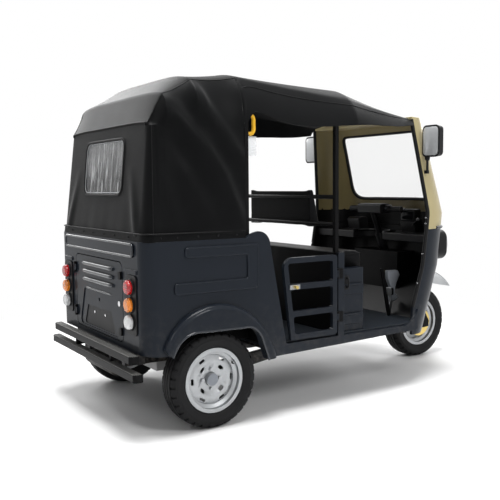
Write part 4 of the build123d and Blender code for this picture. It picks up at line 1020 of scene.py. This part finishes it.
# Wheels: tyres with a bead, sidewall rings, grooves and cut shoulders, and the caps on the hubs.
AXLE_Z = 0.247
WHEELS = [
    ("front", Vector((FRONT_X, 0.0, AXLE_Z)), LEFT),
    ("rear_right", Vector((REAR_X, -0.541, AXLE_Z)), RIGHT),
    ("rear_left", Vector((REAR_X, 0.541, AXLE_Z)), LEFT),
]
TYRE_SIDE = [
    (0.0515, 0.1525), (0.0530, 0.1690), (0.0590, 0.1745), (0.0607, 0.1790), (0.0602, 0.1810),
    (0.0640, 0.1930), (0.0664, 0.2050), (0.0674, 0.2090), (0.0674, 0.2115), (0.0660, 0.2135),
    (0.0659, 0.2180), (0.0642, 0.2270), (0.0600, 0.2350), (0.0530, 0.2418), (0.0425, 0.2448),
    (0.0415, 0.2385), (0.0365, 0.2385), (0.0355, 0.2456), (0.0155, 0.2466), (0.0145, 0.2390),
    (0.0095, 0.2390), (0.0085, 0.2470),
]
TYRE_STEPS = 128
CUT_EVERY = 4
CUT_DEPTH = 0.006
CUT_SIDE, CUT_RADIUS = 0.044, 0.2305


def make_tyre():
    """One tyre about the origin, its axle along Y."""
    profile = TYRE_SIDE + [(-y, radius) for y, radius in reversed(TYRE_SIDE)]
    obj = turned("tyre_pattern", profile, (0, 0, 0), ACROSS_LEFT, TYRE_STEPS, 30)

    def in_cut(centre, normal):
        radius = math.hypot(centre.x, centre.z)
        step = int((math.atan2(centre.z, centre.x) + math.pi) / (2 * math.pi) * TYRE_STEPS)
        return abs(centre.y) > CUT_SIDE and radius > CUT_RADIUS and step % CUT_EVERY == 0

    choose(obj, in_cut)
    bpy.ops.mesh.extrude_region_shrink_fatten(TRANSFORM_OT_shrink_fatten={"value": -CUT_DEPTH})
    leave()
    return smooth(obj, 30)


tyre_pattern = make_tyre()
CAP = [(0.0335, 0.0), (0.0335, 0.031), (0.0375, 0.031), (0.0395, 0.028), (0.0400, 0.0)]
for wheel, centre, side in WHEELS:
    tyre = moved(tyre_pattern, wheel + "_tyre_shown", centre)
    give(tyre, "tyre", wheel + "_wheel", [wheel + "_tyre"])
    cap = turned(wheel + "_hub_cap", CAP, centre, (0, side, 0), 40)
    give(cap, "hub_grey", wheel + "_wheel")
    foot = centre + Vector((0.118, side * 0.030, 0.070))
    valve = bar(wheel + "_valve", foot, foot + Vector((0, side * 0.020, 0)), 0.0042, 16, 0.001)
    give(valve, "rubber_trim", wheel + "_wheel")
bpy.data.objects.remove(tyre_pattern)


# Lamps, screws and bright trim at the rear.
LAMP_Y, LAMP_HEIGHTS = 0.449, (0.738, 0.651, 0.565)
RING = [(0.0, 0.0352), (0.0, 0.0425), (0.004, 0.0420), (0.0065, 0.0395), (0.0065, 0.0352)]
ring_places = [(REAR_WALL_X - 0.008, sign * LAMP_Y, z) for sign in (RIGHT, LEFT) for z in LAMP_HEIGHTS]
give(turned_row("lamp_rings", RING, ring_places, AFT, 40), "black_plastic")
SCREW = [(0.0, 0.0), (0.0, 0.0075), (0.0025, 0.0070), (0.0045, 0.0040), (0.0050, 0.0)]
screws = [(PLATE_X, y, 0.543) for y in (-0.075, 0.075)]
give(turned_row("plate_screws", SCREW, screws, AFT, 16), "chrome", "rear_door")


def round_corners(points, radius):
    """A closed line of points with its corners rounded and long runs divided."""
    found = []
    for before, corner, after in zip(points[-1:] + points[:-1], points, points[1:] + points[:1]):
        here = Vector(corner)
        start = here + (Vector(before) - here).normalized() * radius
        ahead = Vector(after) - here
        end = here + ahead.normalized() * radius
        found += [curve(start, here, end, t) for t in shares(4)]
        found += [here + ahead * t for t in shares(4)[1:-1] if ahead.length > 0.15]
    return found


PRESSING = [
    (-0.158, 0.926), (0.261, 0.926), (0.261, 0.703), (-0.217, 0.703),
    (-0.217, 0.752), (0.203, 0.752), (0.203, 0.881), (-0.158, 0.881),
]
for name, sign in SIDES:
    outline = [(REAR_X + a, sign * 0.6035, z) for a, z in round_corners(PRESSING, 0.016)]
    give(tube("side_pressing_" + name, outline, 0.0055, 3, 2, True), "body_paint")

# The rolled lip round each rear wheel arch.
ARCH_REAR = [(-0.253, 0.403), (-0.200, 0.481), (-0.125, 0.512)]
ARCH_FRONT = [(0.198, 0.506), (0.243, 0.475), (0.268, 0.435)]
ARCH_FOOT = (0.309, 0.319)
ARCH_LIP = [through(*ARCH_REAR, t) for t in shares(8)]
ARCH_LIP += [Vector(ARCH_REAR[-1]).lerp(Vector(ARCH_FRONT[0]), t) for t in shares(6)[1:-1]]
ARCH_LIP += [through(*ARCH_FRONT, t) for t in shares(6)]
ARCH_LIP += [Vector(ARCH_FRONT[-1]).lerp(Vector(ARCH_FOOT), t) for t in shares(4)[1:]]
FLARE_Y = -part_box("body_side_right")[0][1]
for name, sign in SIDES:
    lip = [(REAR_X + a, sign * (FLARE_Y - 0.003), z) for a, z in ARCH_LIP]
    give(tube("arch_lip_" + name, lip, 0.0065, 3, 2), "bead_paint")


def louvre_x(t):
    """The louvre's line stands proud of the door and sinks into it at both ends."""
    return REAR_WALL_X - 0.005 + 0.019 * (1 - ramp(min(t, 1 - t), 0.0, 0.06))


def louvre(name, half, z, radius, sunk=0.0):
    reach = [(louvre_x(t) + sunk, half * (2 * t - 1), z) for t in shares(24)]
    return tube(name, reach, radius, 3, 2)


louvres = [louvre("louvre_%d" % n, 0.222, z, 0.0115) for n, z in enumerate((0.718, 0.762, 0.805))]
louvres.append(louvre("recess_ridge", 0.205, 0.668, 0.006, 0.006))
give(joined("louvres", *louvres), "bead_paint", "rear_door")
strip = [(REAR_WALL_X - 0.006, y, 0.918 + z) for y, z in rounded(0.476, 0.030, 0.022)]
give(tube("rear_strip_bead", strip, 0.0065, 3, 2, True), "bead_paint")


# The nose: its outer face, the windscreen's rubber and the edging of the cab opening.
NoseRow = namedtuple("NoseRow", "z back front half corner")
NOSE = [
    NoseRow(0.470, -0.570, -0.315, 0.553, 0.211),
    NoseRow(0.720, -0.500, -0.205, 0.565, 0.280),
    NoseRow(0.950, -0.464, -0.172, 0.561, 0.280),
    NoseRow(1.045, -0.450, -0.165, 0.558, 0.270),
    NoseRow(1.150, -0.462, -0.198, 0.545, 0.250),
    NoseRow(1.640, -0.532, -0.360, 0.485, 0.160),
]


def nose_row(z):
    row, _ = between(NOSE, z)
    return NoseRow(*row)


def nose_front(y, z, inset=0.0):
    """A point of the nose's front face, moved inward by the inset."""
    row = nose_row(z)
    radius = row.corner - inset
    over = max(0.0, abs(y) - (row.half - inset - radius))
    back = radius - math.sqrt(max(0.0, radius * radius - over * over))
    return Vector((FRONT_X + row.front - inset - back, y, z))


SCREEN_CORNERS = [
    (0.392, 1.128, 0.090), (0.368, 1.570, 0.040), (-0.368, 1.570, 0.040), (-0.392, 1.128, 0.090),
]
EDGE_LOW, EDGE_HIGH = 0.475, 1.625
EDGE_INSET = 0.009
PIN = [(0.0, 0.0), (0.0, 0.006), (0.0025, 0.0055), (0.0045, 0.0)]
PIN_HEIGHTS = (0.62, 0.80, 0.985, 1.02)


def cab_edge(sign, z, ahead):
    """A point of the edge of the cab opening, moved along X."""
    row = nose_row(z)
    return FRONT_X + row.back + ahead, sign * (row.half - EDGE_INSET), z


def screen_outline():
    """The windscreen opening as (y, z) points, with large lower corners and small upper ones."""
    points = []
    for n, (y, z, radius) in enumerate(SCREEN_CORNERS):
        here = Vector((y, z))
        *next_corner, next_radius = SCREEN_CORNERS[(n + 1) % 4]
        before = (Vector(SCREEN_CORNERS[n - 1][:2]) - here).normalized()
        after = (Vector(next_corner) - here).normalized()
        end = here + after * radius
        far = Vector(next_corner) - after * next_radius
        points += [curve(here + before * radius, here, end, t) for t in shares(4)]
        points += [end.lerp(far, t) for t in shares(5)[1:-1]]
    return points


seal = [nose_front(y, z, 0.010) for y, z in screen_outline()]
give(tube("windscreen_rubber", seal, 0.0125, 3, 4, True), "rubber_trim")
for name, sign in SIDES:
    edge = [cab_edge(sign, EDGE_LOW + (EDGE_HIGH - EDGE_LOW) * t, 0.004) for t in shares(24)]
    give(tube("cab_edging_" + name, edge, 0.0125, 3, 3), "rubber_trim")
    pins = [cab_edge(sign, z, -0.0075) for z in PIN_HEIGHTS]
    give(turned_row("edge_screws_" + name, PIN, pins, AFT, 12), "chrome")
    band = [nose_front(sign * 0.55 * t, 0.957, -0.001) for t in shares(24)]
    give(tube("cowl_band_" + name, band, 0.010, 2, 3), "grey_plastic")


MIRROR_X = FRONT_X - 0.452
MIRROR_JOINT = [(-0.016, 0.0), (-0.016, 0.012), (0.0, 0.0165), (0.016, 0.012), (0.016, 0.0)]
DISH = [
    (0.0005, 0.0), (0.0005, 0.076), (0.0115, 0.0755), (0.0105, 0.066), (0.006, 0.040), (0.004, 0.012),
    (0.0038, 0.0),
]
BEZEL = [(0.0, 0.0765), (0.0, 0.0885), (0.010, 0.0865), (0.0165, 0.0815), (0.0165, 0.0765)]
for name, sign in SIDES:
    glass = plate(
        "mirror_glass_" + name, rounded(0.058, 0.086, 0.024),
        lambda y, z: (MIRROR_X - 0.0195, sign * 0.589 + y, 1.488 + z), (-0.0035, 0, 0), 0.001,
    )
    give(glass, "mirror_glass")
    joint_place = (MIRROR_X, sign * 0.545, 1.388)
    give(turned("mirror_joint_" + name, MIRROR_JOINT, joint_place, UPWARD, 24), "black_plastic")
    face = (FRONT_X - 0.128, sign * 0.332, 0.832)
    give(turned("headlamp_dish_" + name, DISH, face, AHEAD, 48), "chrome")
    give(turned("headlamp_bezel_" + name, BEZEL, face, AHEAD, 48), "chrome")

WIPER_ARM = [
    (-0.330, 1.100, -0.004), (-0.332, 1.150, -0.016), (-0.335, 1.210, -0.016), (-0.338, 1.268, -0.012),
]
WIPER_BOSS = [(-0.006, 0.0), (-0.006, 0.013), (0.010, 0.011), (0.014, 0.007), (0.014, 0.0)]
wiper = [nose_front(*place) for place in WIPER_ARM]
give(tube("wiper_arm", wiper, 0.0045, 3, 4), "black_metal")
blade = [nose_front(-0.375 + 0.090 * t, 1.335 - 0.135 * t, -0.007) for t in shares(6)]
give(tube("wiper_blade", blade, 0.0065, 2, 3), "rubber_trim")
give(turned("wiper_boss", WIPER_BOSS, wiper[0], (1, 0, 0.3), 24), "black_metal")


# Cab fittings: instrument box, column lever, buttons, seat-base pull, grab handle and pouch.
give(cube("instrument_box", (0.735, -0.332, 0.988), (0.800, -0.203, 1.066), 0.010), "black_plastic")
screen = plate(
    "instrument_screen", rounded(0.052, 0.028, 0.010),
    lambda y, z: (0.7347, -0.2675 + y, 1.027 + z), (-0.003, 0, 0), 0.001,
)
give(screen, "gloss_black")
LEVER = [(0.760, -0.290, 0.952), (0.710, -0.345, 0.968), (0.655, -0.420, 0.990), (0.605, -0.490, 1.008)]
KNOB = [(-0.012, 0.0), (-0.012, 0.007), (0.0, 0.011), (0.012, 0.007), (0.012, 0.0)]
give(tube("column_lever", LEVER, 0.0055, 3, 6), "chrome")
give(turned("column_lever_knob", KNOB, LEVER[-1], (-0.57, -0.8, 0.2), 20), "black_plastic")
SCOOP_X, SCOOP_RADIUS, SCOOP_Z = FRONT_X - 0.400, 0.150, 0.911
scoop = []
for degrees in range(-105, 106, 10):
    angle = math.radians(degrees)
    scoop.append((SCOOP_X + SCOOP_RADIUS * math.cos(angle), SCOOP_RADIUS * math.sin(angle), SCOOP_Z))
give(tube("dash_scoop_edge", scoop, 0.009, 3, 3), "gloss_black")

BAR_Z = 1.065
POD_Y = 0.128
BUTTON = [(0.0, 0.0), (0.0, 0.010), (0.004, 0.010), (0.006, 0.007), (0.006, 0.0)]
GRIP_RIB = [(-0.0035, 0.0170), (-0.0035, 0.0180), (0.0035, 0.0180), (0.0035, 0.0170)]
for name, sign, finish in (("left", LEFT, "red_plastic"), ("right", RIGHT, "grey_plastic")):
    pod_low = (BAR_X - 0.026, sign * POD_Y - 0.018, 1.046)
    pod_high = (BAR_X + 0.018, sign * POD_Y + 0.018, 1.092)
    give(cube("switch_pod_" + name, pod_low, pod_high, 0.007), "black_plastic", "steering")
    button = turned("switch_button_" + name, BUTTON, (BAR_X - 0.0255, sign * POD_Y, 1.072), AFT, 24)
    give(button, finish, "steering")
    rib_places = [(BAR_X, sign * (0.150 + 0.011 * n), BAR_Z) for n in range(9)]
    ribs = turned_row("grip_ribs_" + name, GRIP_RIB, rib_places, ACROSS_LEFT, 32)
    give(ribs, "rubber_trim", "steering")

CASTING = [
    (1.468, 0.676), (1.560, 0.672), (1.576, 0.640), (1.545, 0.585), (1.532, 0.530), (1.565, 0.492),
    (1.535, 0.472), (1.494, 0.478), (1.500, 0.560), (1.470, 0.625),
]
casting = plate("pedal_casting", CASTING, lambda a, z: (REAR_X + a, -0.302, z), (0, 0.030, 0), 0.006, 3)
give(casting, "hub_grey")
base_ribs = []
for number, z in enumerate((0.659, 0.487)):
    rib = [(REAR_X + 0.866 + 0.140 * t, -0.5705, z) for t in shares(8)]
    base_ribs.append(tube("seat_base_rib_%d" % number, rib, 0.0055, 3, 2))
give(joined("seat_base_ribs", *base_ribs), "body_paint")

PULL_X = REAR_X + 0.892
PULL = [(-0.569, 0.700), (-0.585, 0.694), (-0.587, 0.672), (-0.585, 0.650), (-0.569, 0.644)]
pull_plate = plate(
    "seat_base_pull_plate", rounded(0.019, 0.040, 0.008),
    lambda x, z: (PULL_X + x, -0.5672, 0.672 + z), (0, -0.004, 0), 0.0012,
)
give(pull_plate, "black_plastic")
give(tube("seat_base_pull", [(PULL_X, y, z) for y, z in PULL], 0.005, 3, 6), "black_plastic")

POST_X = REAR_X + 0.232
HANDLE = [
    (0.004, -0.566, 1.588), (0.022, -0.572, 1.582), (0.030, -0.573, 1.540), (0.024, -0.572, 1.498),
    (0.004, -0.566, 1.490),
]
give(tube("grab_handle", [(POST_X + x, y, z) for x, y, z in HANDLE], 0.011, 4, 8), "yellow_plastic")


def pouch_point(u, v):
    """The pouch hangs behind the handle, a little puffed and waved."""
    puff = 0.004 * math.sin(math.pi * u) * math.sin(math.pi * v)
    wave = 0.0012 * math.sin(40 * v + 6 * u)
    return Vector((POST_X + 0.002 + 0.050 * u, -0.566 - puff - wave * u, 1.380 + 0.100 * v))


pouch = shaped("clear_pouch", 16, 28, pouch_point)
thicken(pouch, CLEAR_SHEET)
give(smooth(pouch, SHEET_SHADING), "pouch_vinyl")


# Cushions: slightly small copies of the solids, filled by a cloth simulation.
Pad = namedtuple("Pad", "node inset cap fill rests reach")
PADS = [
    Pad("driver_cushion", 0.018, 0.024, 0.8, 2, 0.030),
    Pad("passenger_cushion", 0.018, 0.024, 0.8, 2, 0.030),
    Pad("driver_backrest", 0.008, 0.010, 0.85, 0, 0.014),
    Pad("passenger_backrest", 0.012, 0.016, 0.8, None, 0.0),
]
VOXEL = 0.006
FRAMES = 20
FILL_PRESSURE = 4.0
PRESSED = 0.3
PAD_ROUNDS = 14


def held_in(place, low, high):
    return [max(least, min(most, value)) for least, most, value in zip(low, high, place)]


def swell(obj, cap, low, high):
    """Fills the pad, then holds each point within the cap and inside the solid's own space."""
    start = [point.co.copy() for point in obj.data.vertices]
    filling = obj.modifiers.new("filling", "CLOTH")
    filling.settings.use_pressure = True
    filling.settings.uniform_pressure_force = FILL_PRESSURE
    filling.settings.effector_weights.gravity = 0.0
    scene = bpy.context.scene
    for number in range(1, FRAMES + 1):
        scene.frame_set(number)
    settle(obj)
    scene.frame_set(1)
    for point, old in zip(obj.data.vertices, start):
        step = point.co - old
        if step.length > cap:
            step *= cap / step.length
        point.co = held_in(old + step, low, high)


def make_pad(pad):
    obj = copy_of(pad.node, pad.node + "_pad")
    take_all(obj)
    bpy.ops.transform.shrink_fatten(value=-pad.inset)
    leave()
    even = obj.modifiers.new("even", "REMESH")
    even.mode = "VOXEL"
    even.voxel_size = VOXEL
    settle(obj)
    low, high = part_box(pad.node)
    swell(obj, pad.cap, low, high)
    relax(obj, PAD_ROUNDS, lambda point: 1.0)
    axis = pad.rests
    for point in obj.data.vertices:
        if axis is not None and point.co[axis] < low[axis] + pad.reach:
            point.co[axis] = low[axis] + max(0.0, point.co[axis] - low[axis] - pad.inset) * PRESSED
        point.co = held_in(point.co, low, high)
    give(smooth(obj, SHEET_SHADING), "seat_vinyl", stands_for=[pad.node])
    return obj


def pad_piping(node, pad):
    """Piping laid on a cushion, round its top."""
    low, high = (Vector(corner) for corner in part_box(node))
    middle, half = (low + high) / 2, (high - low) / 2
    placed = []
    for x, y in rounded(half.x - 0.004, half.y - 0.004, 0.03):
        near_edge = Vector((middle.x + x, middle.y + y, high.z - 0.016))
        _, place, normal, _ = pad.closest_point_on_mesh(near_edge)
        placed.append(place + 0.001 * normal)
    give(tube(node + "_piping", placed, 0.004, 2, 2, True), "seat_vinyl")


pads = {pad.node: make_pad(pad) for pad in PADS}
for node in ("driver_cushion", "passenger_cushion"):
    pad_piping(node, pads[node])


# Floor, light, world and camera.
FLOOR_SIZE, FLOOR_GAP = 60, 0.001
FADE = (1.7, 3.4)
bpy.ops.mesh.primitive_plane_add(size=FLOOR_SIZE, location=(0, 0, -FLOOR_GAP))
floor = named("floor")
bpy.ops.object.transform_apply()


def floor_paint():
    """Pale matt floor that fades to plain white away from the vehicle."""
    finish = Finish("floor_paint", (0.90, 0.90, 0.90), 0.8)
    finish.put("Base Color", finish.mix(finish.noise(2.0), (0.89, 0.89, 0.89), (0.91, 0.91, 0.91)))
    away = finish.node("ShaderNodeVectorMath", {0: finish.place}, out="Value", operation="LENGTH")
    white = finish.node("ShaderNodeEmission", {"Color": (1.0, 1.0, 1.0), "Strength": 1.0})
    factor = finish.seen_directly() * away.ramp(*FADE)
    inputs = {0: factor, 1: Value(finish, finish.shader.outputs[0]), 2: white}
    surface = finish.node("ShaderNodeMixShader", inputs)
    finish.join(surface, finish.tree.nodes["Material Output"].inputs["Surface"])
    return finish


floor.data.materials.append(floor_paint().material)

Lamp = namedtuple("Lamp", "name place aim size power")
LAMPS = [
    Lamp("top", (-0.6, -0.4, 6.0), (-0.2, 0, 0.9), 3.0, 570),
    Lamp("key", (0.8, -6.0, 4.6), (0, 0, 0.9), 1.8, 170),
    Lamp("rear_fill", (-6.0, -0.6, 4.6), (0, 0, 0.8), 1.6, 45),
    Lamp("far_side", (-0.6, 6.0, 4.2), (0, 0, 1.2), 3.6, 210),
    Lamp("front_fill", (6.0, 2.5, 4.0), (0, 0, 0.9), 4.0, 180),
]
for lamp in LAMPS:
    bpy.ops.object.light_add(type="AREA", location=lamp.place)
    light = named(lamp.name)
    light.data.size = lamp.size
    light.data.energy = lamp.power
    light.rotation_euler = (Vector(lamp.aim) - Vector(lamp.place)).to_track_quat("-Z", "Y").to_euler()

WORLD_LEVEL = 0.24
world = bpy.data.worlds.new("studio")
bpy.context.scene.world = world
world.use_nodes = True
sky = Nodes(world.node_tree)
background = sky.tree.nodes["Background"]
sky.join((1.0, 1.0, 1.0), background.inputs["Color"])
sky.join(WORLD_LEVEL + (1 - WORLD_LEVEL) * sky.seen_directly(), background.inputs["Strength"])
bpy.context.scene.view_settings.view_transform = "Standard"

LENS, SENSOR = 52.55, 36.0
CAMERA_PLACE = Vector((-2.7507, -3.7339, 1.2247))
YAW, PITCH, ROLL = math.radians(57.0), math.radians(-5.0), math.radians(-0.5)
forward = Vector((math.cos(YAW) * math.cos(PITCH), math.sin(YAW) * math.cos(PITCH), math.sin(PITCH)))
flat_right = Vector((math.sin(YAW), -math.cos(YAW), 0.0))
flat_up = flat_right.cross(forward)
right = flat_right * math.cos(ROLL) + flat_up * math.sin(ROLL)
up = flat_up * math.cos(ROLL) - flat_right * math.sin(ROLL)
bpy.ops.object.camera_add()
camera = named("camera")
camera.matrix_world = Matrix.Translation(CAMERA_PLACE) @ Matrix((right, up, -forward)).transposed().to_4x4()
camera.data.lens = LENS
camera.data.sensor_width = SENSOR
bpy.context.scene.camera = camera
